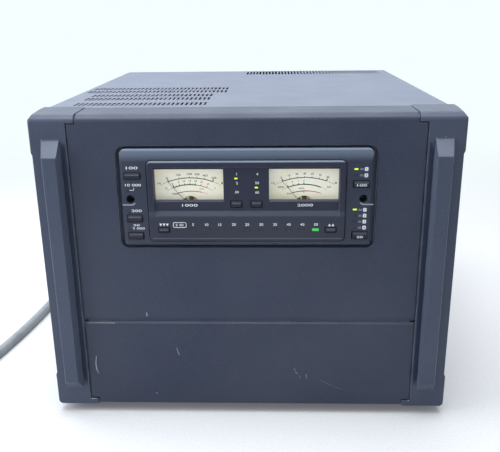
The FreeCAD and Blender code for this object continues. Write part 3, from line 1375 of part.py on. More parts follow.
def motor_pinion(front):
    """Motor shaft with the small gear that drives the rotor's gear."""
    gear_back = front - BUTTON_PLAY
    centre = (TUNER_X, PINION_Z)
    wheel = gear(PINION_TEETH, (gear_back - GEAR_T, gear_back), centre, -90 + 180 / PINION_TEETH)
    end = front + TUNER_PLATE + MOTOR_BORE - BUTTON_PLAY
    return join([wheel, rod("Y", (gear_back - GEAR_T, end), centre, MOTOR_SHAFT_R)])


def tuner_motors():
    motors = []
    centre = (TUNER_X, PINION_Z)
    for front in TUNER_FRONTS:
        face = front + TUNER_PLATE
        bore = rod("Y", (face - 1, face + MOTOR_BORE), centre, MOTOR_SHAFT_R + TURN_CLEAR)
        motors.append(rod("Y", (face, face + MOTOR_L), centre, MOTOR_R).cut(bore))
    return group(motors)


def logic_board():
    """Board on standoffs behind the tray's front wall, with the head's connector."""
    front = WALL_BACK + STANDOFF
    low = HEAD_Z - LOGIC_DROP - LOGIC_H / 2
    half = LOGIC_W / 2
    board = box((-half, half), (front, front + BOARD_T), (low, low + LOGIC_H))
    corners = [(x * (half - POST_R), z) for x in (-1, 1) for z in (low + POST_R, low + LOGIC_H - POST_R)]
    solids = [board] + [rod("Y", (WALL_BACK, front), place, PILLAR_R) for place in corners]
    solids.append(link_opening((HEAD_REAR - 1.5 * HEAD_WALL, front), 0))
    back = front + BOARD_T
    for x in spaced(-half + 2 * CHIP, half - 2 * CHIP, 4):
        solids.append(prism("Y", (back, back + 2.0), middle_rect((x, low + LOGIC_H / 2), (CHIP, CHIP))))
    return group(solids)


# ---------------------------------------------------------------- rear
def socket_places():
    """Four antenna sockets in a row and two input sockets below them."""
    places = [(SOCKET_X + index * SOCKET_PITCH, ANTENNA_Z) for index in range(4)]
    return places + [(SOCKET_X + index * SOCKET_PITCH, INPUT_Z) for index in range(2)]


def round_socket_places():
    """Round control sockets beside the input sockets."""
    return [(SOCKET_X + index * SOCKET_PITCH, INPUT_Z) for index in (2, 3)]


def jack_places():
    """Small jacks in a row below the control sockets."""
    return [(SOCKET_X + 2 * SOCKET_PITCH + index * JACK_PITCH, JACK_Z) for index in range(3)]


def coax_sockets():
    sockets = []
    out = CASE_DEPTH + SOCKET_FLANGE_T
    for x, z in socket_places():
        square = middle_rect((x, z), (SOCKET_FLANGE, SOCKET_FLANGE), SOCKET_FLANGE_T)
        flange = prism("Y", (CASE_DEPTH, out), square)
        barrel = rod("Y", (CASE_DEPTH, out + SOCKET_L), (x, z), SOCKET_R)
        body = rod("Y", (REAR_IN - SOCKET_BODY_L, CASE_DEPTH), (x, z), SOCKET_BODY_R)
        shell = join([flange, barrel, body])
        shell = shell.cut(rod("Y", (CASE_DEPTH, out + SOCKET_L + 1), (x, z), SOCKET_BORE))
        pin = ring("Y", (CASE_DEPTH, out + SOCKET_L - 2), (x, z), SOCKET_PIN_R + 1, SOCKET_PIN_R)
        sockets.append(shell)
        sockets.append(pin)
    return group(sockets)


def control_sockets():
    solids = []
    for x, z in round_socket_places():
        shell = rod("Y", (CASE_DEPTH, CASE_DEPTH + ROUND_SOCKET_L), (x, z), ROUND_SOCKET_R)
        mouth = (CASE_DEPTH + 1, CASE_DEPTH + ROUND_SOCKET_L + 1)
        shell = shell.cut(rod("Y", mouth, (x, z), ROUND_SOCKET_R - 2))
        insert = rod("Y", (REAR_IN - SOCKET_BODY_L, CASE_DEPTH), (x, z), ROUND_SOCKET_R - 1 - HOLE_CLEAR)
        solids.append(join([shell, insert]))
    for x, z in jack_places():
        shell = rod("Y", (CASE_DEPTH, CASE_DEPTH + JACK_L), (x, z), JACK_R)
        collar = rod("Y", (CASE_DEPTH, CASE_DEPTH + 1.5), (x, z), JACK_R + JACK_COLLAR)
        insert = rod("Y", (REAR_IN - SOCKET_BODY_L, CASE_DEPTH), (x, z), JACK_R - 1 - HOLE_CLEAR)
        bore = rod("Y", (CASE_DEPTH + 1, CASE_DEPTH + JACK_L + 1), (x, z), JACK_R / 2)
        solids.append(join([shell, collar, insert]).cut(bore))
    return group(solids)


def hexagon(centre, radius, y):
    """Hexagonal nut blank."""
    corners = []
    for index in range(6):
        angle = math.radians(60 * index)
        corners.append((centre[0] + radius * math.cos(angle), centre[1] + radius * math.sin(angle), 0))
    return prism("Y", y, corners)


def ground_stud():
    centre = (STUD_X, STUD_Z)
    stud = rod("Y", (REAR_IN - 2 * NUT_T, CASE_DEPTH + STUD_REACH), centre, STUD_R)
    seats = ((REAR_IN - NUT_T, REAR_IN), (CASE_DEPTH, CASE_DEPTH + NUT_T))
    return join([stud] + [hexagon(centre, NUT_R, y) for y in seats])


def ground_wing_nut():
    """Nut with two wings that spread to the rear."""
    centre = (STUD_X, STUD_Z)
    front = CASE_DEPTH + NUT_T + SEAT_GAP
    back = front + WING_HUB
    hub = rod("Y", (front, back), centre, STUD_R + WING_WALL)
    half = WING_SPAN / 2
    outline = [
        (STUD_X - half, back - 1, 1), (STUD_X - STUD_R, front + 1, 0), (STUD_X + STUD_R, front + 1, 0),
        (STUD_X + half, back - 1, 1), (STUD_X + half - 1, back + 3, 1), (STUD_X + WING_WALL, back, 0),
        (STUD_X - WING_WALL, back, 0), (STUD_X - half + 1, back + 3, 1),
    ]
    wings = prism("Z", (STUD_Z - WING_T / 2, STUD_Z + WING_T / 2), outline)
    bore = rod("Y", (front - 1, front + STUD_REACH), centre, STUD_R + TURN_CLEAR)
    return join([hub, wings]).cut(bore)


def breaker_body():
    centre = (BREAKER_X, BREAKER_Z)
    size = (BREAKER_BODY / 2, BREAKER_BODY)
    body = prism("Y", (REAR_IN - BREAKER_BODY_L, REAR_IN), middle_rect(centre, size))
    body = join([body, hexagon(centre, BREAKER_BUSH_R + 2, (REAR_IN - NUT_T, REAR_IN))])
    bush = rod("Y", (REAR_IN - 1, CASE_DEPTH + BREAKER_BUSH_L), centre, BREAKER_BUSH_R)
    nut = hexagon(centre, BREAKER_BUSH_R + 2.5, (CASE_DEPTH, CASE_DEPTH + NUT_T))
    depth = CASE_DEPTH - BREAKER_TRAVEL - NUT_T
    bore = rod("Y", (depth, CASE_DEPTH + BREAKER_BUSH_L + 1), centre, BREAKER_BUTTON_R + TURN_CLEAR)
    return join([body, bush, nut]).cut(bore)


def breaker_button():
    centre = (BREAKER_X, BREAKER_Z)
    depth = CASE_DEPTH - BREAKER_TRAVEL - NUT_T
    return rod("Y", (depth + BUTTON_PLAY, CASE_DEPTH + BREAKER_BUSH_L + 1.5), centre, BREAKER_BUTTON_R)


def strain_relief():
    """Collar in the rear panel and a tapered sleeve round the cord's first stretch."""
    centre = (CORD_X, CORD_HEIGHT)
    neck = rod("Y", (REAR_IN - NUT_T, CASE_DEPTH), centre, RELIEF_R)
    collar = rod("Y", (CASE_DEPTH, CASE_DEPTH + RELIEF_COLLAR_T), centre, RELIEF_COLLAR)
    nut = rod("Y", (REAR_IN - NUT_T, REAR_IN), centre, RELIEF_COLLAR)
    start = CASE_DEPTH + RELIEF_COLLAR_T
    base = Vector(CORD_X, start, CORD_HEIGHT)
    sleeve = Part.makeCone(RELIEF_R, CORD_R + 1, RELIEF_LENGTH - RELIEF_COLLAR_T, base, Vector(0, 1, 0))
    ribs = []
    count = 5
    for index in range(count):
        y = start + (index + 0.6) * (RELIEF_LENGTH - RELIEF_COLLAR_T) / count
        radius = RELIEF_R + (CORD_R + 1 - RELIEF_R) * (y - start) / (RELIEF_LENGTH - RELIEF_COLLAR_T)
        ribs.append(rod("Y", (y, y + 2.0), centre, radius + 0.6))
    return join([neck, collar, nut, sleeve] + ribs)


# ---------------------------------------------------------------- mains cord
def tube(points, radius):
    """Round tube on straight runs joined by tangent arcs."""
    edges = []
    leave = points[0]
    for index in range(1, len(points) - 1):
        here = points[index]
        back = points[index - 1] - here
        ahead = points[index + 1] - here
        turn = math.pi - back.getAngle(ahead)
        bend = 0.45 * min(back.Length, ahead.Length) / math.tan(turn / 2)
        reach = bend * math.tan(turn / 2)
        back.normalize()
        ahead.normalize()
        arrive = here + back * reach
        depart = here + ahead * reach
        inward = (back + ahead).normalize()
        top = here + inward * (bend / math.cos(turn / 2) - bend)
        edges.append(Part.LineSegment(leave, arrive).toShape())
        edges.append(Part.Arc(arrive, top, depart).toShape())
        leave = depart
    edges.append(Part.LineSegment(leave, points[-1]).toShape())
    path = Part.Wire(edges)
    circle = Part.Circle(points[0], points[1] - points[0], radius)
    profile = Part.Wire([circle.toShape()])
    return path.makePipeShell([profile], True, False)


def coil_ring():
    """Outer shape of the wound cord."""
    outer = COIL_MEAN_R + COIL_SECTION / 2
    inner = COIL_MEAN_R - COIL_SECTION / 2
    body = ring("Z", (0, COIL_HEIGHT), (COIL_X, COIL_Y), outer, inner)
    rim = [edge for edge in body.Edges if len(edge.Vertexes) == 1]
    return body.makeFillet(CORD_R, rim)


def plug_place():
    """Where the tail of the cord meets the plug: x and y."""
    outer = COIL_MEAN_R + COIL_SECTION / 2
    return COIL_X - outer + CORD_R, COIL_Y + outer + CORD_R


def mains_cord():
    """Cord from the strain relief to the coil, and its short tail to the plug."""
    sweep = tube([CORD_START + Vector(*step) for step in CORD_ROUTE], CORD_R)
    x, end = plug_place()
    tail = rod("Y", (COIL_Y, end), (x, PLUG_H / 2), CORD_R)
    coil = coil_ring()
    return group([sweep.cut(coil), tail.cut(coil)])


def mains_plug():
    """Moulded plug with two flat blades and a round earth pin, lying on its side."""
    x, start = plug_place()
    grip = 0.35 * PLUG_L
    mid = PLUG_H / 2
    sleeve = Part.makeCone(CORD_R + 1.5, CORD_R + 4, grip, Vector(x, start, mid), Vector(0, 1, 0))
    body = prism("Y", (start + grip, start + PLUG_L), middle_rect((x, mid), (PLUG_W, PLUG_H), 6.0))
    end = start + PLUG_L
    prongs = []
    for side in (-1, 1):
        left = x + side * BLADE_SPACING / 2 - BLADE_THICK / 2
        tall = (mid - 1, mid - 1 + BLADE_WIDTH)
        prongs.append(box((left, left + BLADE_THICK), (end - 1, end + BLADE_REACH), tall))
    earth = (x, mid - EARTH_DROP)
    prongs.append(rod("Y", (end - 1, end + BLADE_REACH + 2), earth, EARTH_R))
    return join([sleeve, body] + prongs)


# ---------------------------------------------------------------- the part
def build():
    """Every named piece of the amplifier."""
    rail = handle_rail()
    cover = side_cover()
    parts = {
        "front_panel": front_panel(),
        "lower_front_cover": lower_front_cover(),
        "handle_rail_right": rail,
        "handle_rail_left": mirrored(rail),
        "top_cover": top_cover(),
        "side_cover_right": cover,
        "side_cover_left": mirrored(cover),
        "chassis_tray": chassis_tray(),
        "rear_panel": rear_panel(),
        "rubber_feet": rubber_feet(),
        "case_screws": case_screws(),
        "power_supply": power_supply(),
        "heat_sink": heat_sink(),
        "pa_boards": pa_boards(),
        "pa_transistors": pa_transistors(),
        "filter_board": filter_board(),
        "filter_coils": filter_coils(),
        "fan_frames": fan_frames(),
        "fan_impeller_left": fan_impeller(FAN_CENTRES[0]),
        "fan_impeller_right": fan_impeller(FAN_CENTRES[1]),
        "tuner_capacitor_frames": tuner_capacitor_frames(),
        "tuner_motors": tuner_motors(),
        "tuner_rotor_front": tuner_rotor(TUNER_FRONTS[0]),
        "tuner_rotor_rear": tuner_rotor(TUNER_FRONTS[1]),
        "motor_pinion_front": motor_pinion(TUNER_FRONTS[0]),
        "motor_pinion_rear": motor_pinion(TUNER_FRONTS[1]),
        "logic_board": logic_board(),
        "coax_sockets": coax_sockets(),
        "control_sockets": control_sockets(),
        "ground_stud": ground_stud(),
        "ground_wing_nut": ground_wing_nut(),
        "breaker_body": breaker_body(),
        "breaker_button": breaker_button(),
        "strain_relief": strain_relief(),
        "mains_cord": mains_cord(),
        "mains_cord_coil": coil_ring(),
        "mains_plug": mains_plug(),
        "controller_face": controller_face(),
        "controller_case": controller_case(),
        "meter_bezel": meter_bezel(),
        "meter_windows": meter_windows(),
        "meter_housings": meter_housings(),
        "meter_dials": meter_dials(),
        "needle_1": needle(-METER_X),
        "needle_2": needle(METER_X),
        "controller_board": controller_board(),
        "lit_lenses": lenses("lit"),
        "lit_band_lens": lenses("band"),
        "dark_lenses": lenses("dark"),
        "lock_screw_left": lock_screw(-1),
        "lock_screw_right": lock_screw(1),
    }
    parts.update({name: button(name) for name in BUTTONS})
    return parts


def write(parts):
    """One STEP file for each piece, moved so that the origin is under the middle."""
    os.makedirs("parts", exist_ok=True)
    for name, shape in parts.items():
        placed = shape.copy()
        placed.translate(Vector(0, FRONT_Y, 0))
        placed.exportStep(os.path.join("parts", name + ".step"))


write(build())
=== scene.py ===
import bpy
import bmesh
import json
import math
from mathutils import Matrix, Vector

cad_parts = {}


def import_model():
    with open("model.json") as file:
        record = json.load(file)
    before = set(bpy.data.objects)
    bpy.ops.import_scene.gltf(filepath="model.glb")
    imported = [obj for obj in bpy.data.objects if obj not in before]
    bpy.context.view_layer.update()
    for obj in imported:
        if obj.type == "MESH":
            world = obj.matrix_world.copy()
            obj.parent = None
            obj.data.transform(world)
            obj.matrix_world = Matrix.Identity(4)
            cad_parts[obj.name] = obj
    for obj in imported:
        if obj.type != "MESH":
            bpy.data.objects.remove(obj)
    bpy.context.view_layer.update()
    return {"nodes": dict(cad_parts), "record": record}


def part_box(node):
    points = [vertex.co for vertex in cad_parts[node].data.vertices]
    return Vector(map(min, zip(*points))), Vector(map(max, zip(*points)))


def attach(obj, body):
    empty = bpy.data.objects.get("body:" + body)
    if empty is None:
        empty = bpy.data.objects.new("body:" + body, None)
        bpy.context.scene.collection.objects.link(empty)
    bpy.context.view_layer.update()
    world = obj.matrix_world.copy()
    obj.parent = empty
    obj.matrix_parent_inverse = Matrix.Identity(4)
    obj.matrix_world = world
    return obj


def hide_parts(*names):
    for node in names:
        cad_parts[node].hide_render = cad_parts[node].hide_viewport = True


# HF linear amplifier, dressed over its CAD frame: paint, glass, printed scales,
# connectors and the mains cord. Metres, unless a name or a comment says
# millimetres. X runs to the right and Z up, seen from the front; -Y is the front.

MM = 0.001

# ---------------------------------------------------------------- viewpoint
CAMERA_PLACE = (0.02072, -0.72373, 0.35296)
CAMERA_YAW = -0.03429
CAMERA_PITCH = 0.31512
CAMERA_ROLL = -0.01179
CAMERA_LENS = 47.575

# ---------------------------------------------------------------- mains cord
CORD_R = 0.0050
CORD_ROUTE = [
    (-0.1300, 0.2105, 0.0460),
    (-0.1300, 0.2405, 0.0460),
    (-0.1340, 0.2725, 0.0360),
    (-0.1500, 0.3025, 0.0200),
    (-0.1800, 0.3225, 0.0085),
    (-0.2160, 0.3245, 0.0051),
    (-0.2480, 0.3045, 0.0051),
    (-0.2620, 0.2645, 0.0051),
    (-0.2615, 0.2065, 0.0051),
    (-0.2575, 0.1425, 0.0051),
    (-0.2550, 0.0805, 0.0051),
    (-0.2575, 0.0185, 0.0051),
    (-0.2645, -0.0445, 0.0051),
    (-0.2750, -0.1055, 0.0051),
    (-0.2844, -0.1475, 0.0051),
]
COIL_MIDDLE = (-0.3455, -0.1835)
COIL_OUTER = 0.0591
COIL_INNER = 0.0489
COIL_LOW = 0.0051
COIL_HIGH = 0.0153
COIL_TURNS = 3.5
TURN_POINTS = 24
# where the turns change over, in turns: inwards, up, and outwards again
SHIFT_IN = (0.70, 0.90)
SHIFT_UP = (1.56, 1.80)
SHIFT_OUT = (2.36, 2.58)
CORD_TAIL = [
    (-0.4048, -0.1590, 0.0144),
    (-0.4048, -0.1360, 0.0122),
    (-0.4048, -0.1142, 0.0120),
]
TIE_WIDTH = 0.012
TIE_THICK = 0.0009
TIE_LOWEST = 0.0001

# ---------------------------------------------------------------- studio
WALL_COLOUR = (0.92, 1.0, 1.0)
SKY_COLOUR = (0.86, 0.94, 1.0)
SKY_STRENGTH = 0.33
FLOOR_COLOUR = (0.645, 0.662, 0.692)
FLOOR_FLECK = (0.606, 0.622, 0.650)
FLECK_RANGE = (0.35, 0.60)       # grain that is all fleck, and all floor
FLOOR_FILL = 0.105               # what the camera sees of the floor even in full shadow
FLOOR_GRAIN = 420.0
FLOOR_HALF = 4.0
FLOOR_ROUGHNESS = 0.9
GLOW_RANGE = (0.25, 1.1)         # y where the sheet begins to turn white, and is white
WALL_DISTANCE = 1.6
WALL_CURVE = 0.9
WALL_HEIGHT = 3.2
CURVE_STEPS = 12
# place, target, size, watts and colour of each soft light
LIGHTS = {
    "overhead_light": ((-0.15, -0.1, 1.9), (0.0, 0.0, 0.1), (1.8, 1.7), 57.0, (1.0, 1.0, 1.0)),
    "left_light": ((-0.80, -0.50, 0.55), (0.0, -0.2, 0.12), (0.5, 0.5), 4.6, (0.93, 0.97, 1.0)),
}

# ---------------------------------------------------------------- surfaces
SHEEN_TINT = (0.66, 0.75, 1.0)
SHEEN_ROUGHNESS = 0.35
SPECULAR_TINT = (0.80, 0.86, 1.0)
NOISE_SPAN = (0.3, 0.7)          # where nearly all of the noise lies
BEVEL_SAMPLES = 6
EDGE_FACING = (0.995, 0.9)       # cosine of flat and rounded normal, off an edge and on it
CARD_PATCH = (0.97, 0.93, 0.82)
GLASS_IOR = 1.49


# ---------------------------------------------------------------- shader helpers
class Material:
    """Principled material whose nodes are added by short calls."""

    def __init__(self, name, colour, roughness, metallic=0.0):
        self.data = bpy.data.materials.new(name)
        self.data.use_nodes = True
        self.tree = self.data.node_tree
        self.shader = self.tree.nodes["Principled BSDF"]
        self.feed("Base Color", colour)
        self.feed("Roughness", roughness)
        self.feed("Metallic", metallic)
        self.place = self.node("ShaderNodeTexCoord").outputs["Object"]

    def give(self, socket, value):
        """Gives a socket a number, a colour or another node's output."""
        if isinstance(value, bpy.types.NodeSocket):
            self.tree.links.new(value, socket)
        elif socket.type == "RGBA":
            socket.default_value = (*value, 1.0)
        else:
            socket.default_value = value

    def feed(self, name, value):
        """Gives the shader's socket of that name a value."""
        self.give(self.shader.inputs[name], value)

    def node(self, kind, **values):
        """New node with a value for each socket that is named."""
        added = self.tree.nodes.new(kind)
        for name, value in values.items():
            self.give(added.inputs[name], value)
        return added

    def noise(self, scale, detail=2.0, stretch=None):
        """Noise from 0 to 1, so many cycles to the metre."""
        place = self.place
        if stretch:
            place = self.node("ShaderNodeMapping", Vector=place, Scale=stretch).outputs["Vector"]
        return self.node("ShaderNodeTexNoise", Vector=place, Scale=scale, Detail=detail).outputs["Fac"]

    def spread(self, value, low, high, out_low=0.0, out_high=1.0, kind="LINEAR"):
        """Value stretched from one range to another and held there."""
        mapped = self.node("ShaderNodeMapRange", Value=value)
        mapped.interpolation_type = kind
        limits = {"From Min": low, "From Max": high, "To Min": out_low, "To Max": out_high}
        for name, limit in limits.items():
            mapped.inputs[name].default_value = limit
        return mapped.outputs["Result"]

    def uneven(self, noise, low, high):
        """Noise turned into a value between two limits."""
        return self.spread(noise, *NOISE_SPAN, low, high)

    def mix(self, factor, first, second):
        """Two colours mixed by a factor."""
        mixed = self.tree.nodes.new("ShaderNodeMix")
        mixed.data_type = "RGBA"
        for index, value in ((0, factor), (6, first), (7, second)):
            self.give(mixed.inputs[index], value)
        return mixed.outputs[2]

    def product(self, first, second):
        """Two values multiplied."""
        added = self.tree.nodes.new("ShaderNodeMath")
        added.operation = "MULTIPLY"
        for socket, value in zip(added.inputs, (first, second)):
            self.give(socket, value)
        return added.outputs[0]

    def bump(self, height, distance, strength, under=None):
        """Bump in metres, over an earlier normal if one is given."""
        added = self.node("ShaderNodeBump", Height=height, Strength=strength, Distance=distance)
        if under:
            self.give(added.inputs["Normal"], under)
        return added.outputs["Normal"]

    def edges(self, radius):
        """Normal with rounded edges, and how near an edge is, from 0 to 1."""
        rounded = self.node("ShaderNodeBevel", Radius=radius)
        rounded.samples = BEVEL_SAMPLES
        flat = self.node("ShaderNodeNewGeometry").outputs["Normal"]
        facing = self.tree.nodes.new("ShaderNodeVectorMath")
        facing.operation = "DOT_PRODUCT"
        self.give(facing.inputs[0], rounded.outputs["Normal"])
        self.give(facing.inputs[1], flat)
        near = self.spread(facing.outputs["Value"], *EDGE_FACING)
        return rounded.outputs["Normal"], near


def lighter(colour, share):
    """Colour moved towards white, or towards black where the share is negative."""
    if share < 0:
        return tuple(value * (1 + share) for value in colour)
    return tuple(value + (1 - value) * share for value in colour)


# ---------------------------------------------------------------- materials
def paint(name, colour, roughness, grain=900.0, wear=0.5, grain_depth=0.00006, haze=0.3, bands=()):
    """Textured satin paint: fine grain, faint clouding, handling marks, edge wear, haze, and painted
    highlight bands.

    A band is a low and a high level in metres, and the share of painted highlight, a pale blue tint,
    that it gains between them.
    """
    made = Material(name, colour, roughness)
    made.feed("Sheen Weight", haze)
    made.feed("Sheen Roughness", SHEEN_ROUGHNESS)
    made.feed("Sheen Tint", SHEEN_TINT)
    made.feed("Specular Tint", SPECULAR_TINT)
    clouds = made.uneven(made.noise(9.0, 3.0), 0.0, 1.0)
    fine = made.noise(grain, 3.0)
    base = made.mix(clouds, lighter(colour, -0.10), lighter(colour, 0.012))
    base = made.mix(made.spread(fine, 0.55, 0.75, 0.0, 0.5), base, lighter(colour, 0.05))
    level = made.node("ShaderNodeSeparateXYZ", Vector=made.place).outputs["Z"]
    # painted highlight: between its two levels the colour turns towards the pale blue tint
    for low, high, share in bands:
        highlighted = tuple(value + (dust - value) * share for value, dust in zip(colour, HIGHLIGHT_TINT))
        base = made.mix(made.spread(level, low, high), base, highlighted)
    normal, near = made.edges(0.0006)
    patchy = made.spread(made.noise(60.0, 4.0), 0.42, 0.62)
    pale_marks = made.product(made.product(near, patchy), wear)
    made.feed("Base Color", made.mix(pale_marks, base, lighter(colour, 0.28)))
    smears = made.noise(22.0, 4.0, (1.0, 1.0, 0.35))
    made.feed("Roughness", made.spread(smears, 0.35, 0.7, roughness - 0.05, roughness + 0.07))
    made.feed("Normal", made.bump(fine, grain_depth, 0.8, normal))
    return made.data


def plastic(name, colour, roughness, gloss=0.5):
    """Moulded plastic with a fine spark-eroded texture."""
    made = Material(name, colour, roughness)
    made.feed("Specular IOR Level", gloss)
    fine = made.noise(1400.0)
    made.feed("Base Color", made.mix(made.noise(25.0), lighter(colour, -0.08), lighter(colour, 0.02)))
    made.feed("Roughness", made.uneven(made.noise(40.0, 3.0), roughness - 0.05, roughness + 0.06))
    normal, _ = made.edges(0.0003)
    made.feed("Normal", made.bump(fine, 0.00003, 0.6, normal))
    return made.data


def metal(name, colour, roughness, stretch=(1.0, 30.0, 30.0)):
    """Metal brushed or drawn along X, or as stretched."""
    made = Material(name, colour, roughness, 1.0)
    lines = made.noise(160.0, 3.0, stretch)
    made.feed("Base Color", made.mix(lines, lighter(colour, -0.12), lighter(colour, 0.08)))
    made.feed("Roughness", made.uneven(lines, roughness - 0.06, roughness + 0.1))
    normal, _ = made.edges(0.0003)
    made.feed("Normal", made.bump(lines, 0.00002, 0.5, normal))
    return made.data


def rubber(name, colour, roughness=0.7):
    """Soft rubber or weave with dust in its pores."""
    made = Material(name, colour, roughness)
    fine = made.noise(700.0, 3.0)
    dust = made.noise(30.0, 4.0)
    made.feed("Base Color", made.mix(dust, lighter(colour, -0.12), lighter(colour, 0.05)))
    made.feed("Roughness", made.uneven(fine, roughness - 0.08, roughness + 0.08))
    made.feed("Normal", made.bump(fine, 0.00005, 0.5))
    return made.data


def circuit(name, colour):
    """Solder mask with tinned tracks and pads."""
    made = Material(name, colour, 0.35)
    tracks = made.node("ShaderNodeTexBrick", Vector=made.place, Scale=90.0)
    made.give(tracks.inputs["Mortar Size"], 0.035)
    track = tracks.outputs["Fac"]
    made.feed("Base Color", made.mix(track, colour, lighter(colour, 0.12)))
    made.feed("Normal", made.bump(track, 0.00006, 0.5))
    return made.data


def lamp(name, colour, strength):
    """Lens lit from behind, a little uneven."""
    made = Material(name, colour, 0.3)
    made.feed("Emission Color", colour)
    made.feed("Emission Strength", made.uneven(made.noise(350.0), strength * 0.8, strength * 1.2))
    made.feed("Coat Weight", 0.5)
    return made.data


def dark_lens(name, colour):
    """Unlit clear lens over a dark well."""
    made = Material(name, colour, 0.22)
    made.feed("Base Color", made.mix(made.noise(300.0), lighter(colour, -0.2), lighter(colour, 0.02)))
    made.feed("Specular IOR Level", 0.3)
    return made.data


def dial_card(name, colour):
    """Printed card lit from behind, a little yellower and darker in soft patches."""
    made = Material(name, colour, 0.6)
    paper = made.noise(900.0)
    yellower = tuple(value * share for value, share in zip(colour, CARD_PATCH))
    tone = made.mix(made.spread(made.noise(45.0), 0.35, 0.7), colour, yellower)
    made.feed("Base Color", tone)
    made.feed("Emission Color", tone)
    made.feed("Emission Strength", 0.30)
    made.feed("Normal", made.bump(paper, 0.00002, 0.4))
    return made.data


def window_glass(name):
    """Clear acrylic with faint dust and a polished face."""
    made = Material(name, (0.9, 0.95, 0.95), 0.06)
    dust = made.spread(made.noise(1200.0), 0.62, 0.8, 0.02, 0.1)
    made.feed("Alpha", dust)
    made.feed("IOR", GLASS_IOR)
    made.data.surface_render_method = "BLENDED"
    return made.data


def ink(name, colour):
    """Thick printing ink with slightly uneven cover."""
    made = Material(name, colour, 0.5)
    made.feed("Base Color", made.mix(made.noise(800.0), lighter(colour, -0.15), colour))
    made.feed("Roughness", made.uneven(made.noise(1500.0), 0.45, 0.6))
    return made.data


def cord_sheath(name, colour):
    """Smooth grey sheath with handling marks."""
    made = Material(name, colour, 0.5)
    marks = made.spread(made.noise(60.0, 4.0), 0.45, 0.75)
    made.feed("Base Color", made.mix(marks, colour, lighter(colour, -0.25)))
    made.feed("Roughness", made.uneven(made.noise(200.0), 0.42, 0.6))
    made.feed("Normal", made.bump(made.noise(500.0), 0.00005, 0.4))
    return made.data


# painted highlights on strips and edges that lean back under the light: levels in metres and share of
# the highlight tint (a share of 0 brings back the plain colour)
HIGHLIGHT_TINT = (0.62, 0.78, 1.0)
FACE_HIGHLIGHT_BANDS = [(0.2370, 0.2440, 0.14), (0.2452, 0.2460, 0.28)]
BEZEL_HIGHLIGHT_BANDS = [(0.1895, 0.1925, 0.035), (0.1953, 0.1957, 0.0), (0.2362, 0.2370, 0.22)]


def slot_materials():
    """Material of each of the record's material slots."""
    made = {}

    def add(maker, name, *values, **named):
        """Material of the slot of that name."""
        made[name] = maker(name, *values, **named)

    add(paint, "front_moulding", (0.018, 0.025, 0.052), 0.40, wear=0.5, haze=0.38)
    add(paint, "rail_paint", (0.037, 0.050, 0.087), 0.38, wear=0.8, haze=0.28)
    add(paint, "cover_paint", (0.080, 0.080, 0.096), 0.40, 700.0, wear=0.5, haze=1.0)
    add(metal, "tray_steel", (0.55, 0.56, 0.58), 0.35)
    add(rubber, "foot_rubber", (0.025, 0.025, 0.026))
    add(metal, "case_screw_steel", (0.10, 0.10, 0.11), 0.35, (1.0, 1.0, 1.0))
    add(metal, "module_steel", (0.60, 0.60, 0.60), 0.4, (20.0, 1.0, 20.0))
    add(metal, "sink_aluminium", (0.72, 0.72, 0.74), 0.32, (30.0, 1.0, 30.0))
    add(circuit, "board_resin", (0.02, 0.14, 0.05))
    add(plastic, "transistor_black", (0.03, 0.03, 0.03), 0.4)
    add(metal, "coil_copper", (0.72, 0.38, 0.20), 0.3, (25.0, 25.0, 1.0))
    add(plastic, "fan_plastic", (0.018, 0.018, 0.02), 0.4)
    add(metal, "tuner_aluminium", (0.75, 0.75, 0.77), 0.28)
    add(metal, "motor_steel", (0.50, 0.50, 0.52), 0.3, (30.0, 1.0, 30.0))
    add(metal, "pinion_brass", (0.75, 0.58, 0.25), 0.25)
    add(metal, "socket_nickel", (0.76, 0.74, 0.70), 0.2, (4.0, 40.0, 4.0))
    add(plastic, "control_socket_black", (0.035, 0.035, 0.04), 0.35)
    add(metal, "ground_brass", (0.72, 0.54, 0.24), 0.28)
    add(plastic, "breaker_black", (0.03, 0.03, 0.03), 0.35)
    add(plastic, "breaker_white", (0.78, 0.78, 0.75), 0.3)
    add(cord_sheath, "cord_grey", (0.28, 0.31, 0.34))
    add(plastic, "plug_grey", (0.30, 0.32, 0.36), 0.45)
    # the head and bezel paints carry painted highlight bands on their upward-facing strips and edges
    add(paint, "head_plastic", (0.015, 0.020, 0.042), 0.42, 1500.0, 0.25, 0.00003, bands=FACE_HIGHLIGHT_BANDS)
    add(paint, "bezel_plastic", (0.009, 0.010, 0.027), 0.40, 1500.0, 0.35, 0.00003, haze=0.1,
        bands=BEZEL_HIGHLIGHT_BANDS)
    add(window_glass, "window_clear")
    add(plastic, "housing_black", (0.02, 0.02, 0.022), 0.5)
    add(dial_card, "dial_cream", (0.84, 0.83, 0.70))
    add(plastic, "needle_black", (0.015, 0.015, 0.018), 0.4)
    add(lamp, "lens_lit", (0.58, 0.80, 0.03), 0.62)
    add(lamp, "lens_lit_green", (0.03, 0.55, 0.07), 0.30)
    add(dark_lens, "lens_dark", (0.020, 0.024, 0.040))
    add(plastic, "button_plastic", (0.014, 0.018, 0.033), 0.40, gloss=0.15)
    add(metal, "lock_screw_black", (0.03, 0.03, 0.034), 0.4)
    return made


def dress_nodes(materials, nodes, record):
    """Gives every CAD node the material of its slot."""
    for subpart in record["subparts"]:
        mesh = nodes[subpart["node"]].data
        mesh.materials.clear()
        mesh.materials.append(materials[subpart["material_slot"]])


# ---------------------------------------------------------------- mesh helpers
def piece(name, mesh, material, body):
    """Object made of a mesh, riding on a body."""
    made = bpy.data.objects.new(name, mesh)
    bpy.context.scene.collection.objects.link(made)
    mesh.materials.append(material)
    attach(made, body)
    return made


def to_mesh(shape, name, smooth=False):
    """Mesh of a finished bmesh."""
    mesh = bpy.data.meshes.new(name)
    bmesh.ops.recalc_face_normals(shape, faces=shape.faces)
    shape.to_mesh(mesh)
    shape.free()
    for face in mesh.polygons:
        face.use_smooth = smooth
    return mesh


def bridge(shape, first, second):
    """Faces between two rings of as many points."""
    for index in range(len(first)):
        after = (index + 1) % len(first)
        shape.faces.new((first[index], first[after], second[after], second[index]))


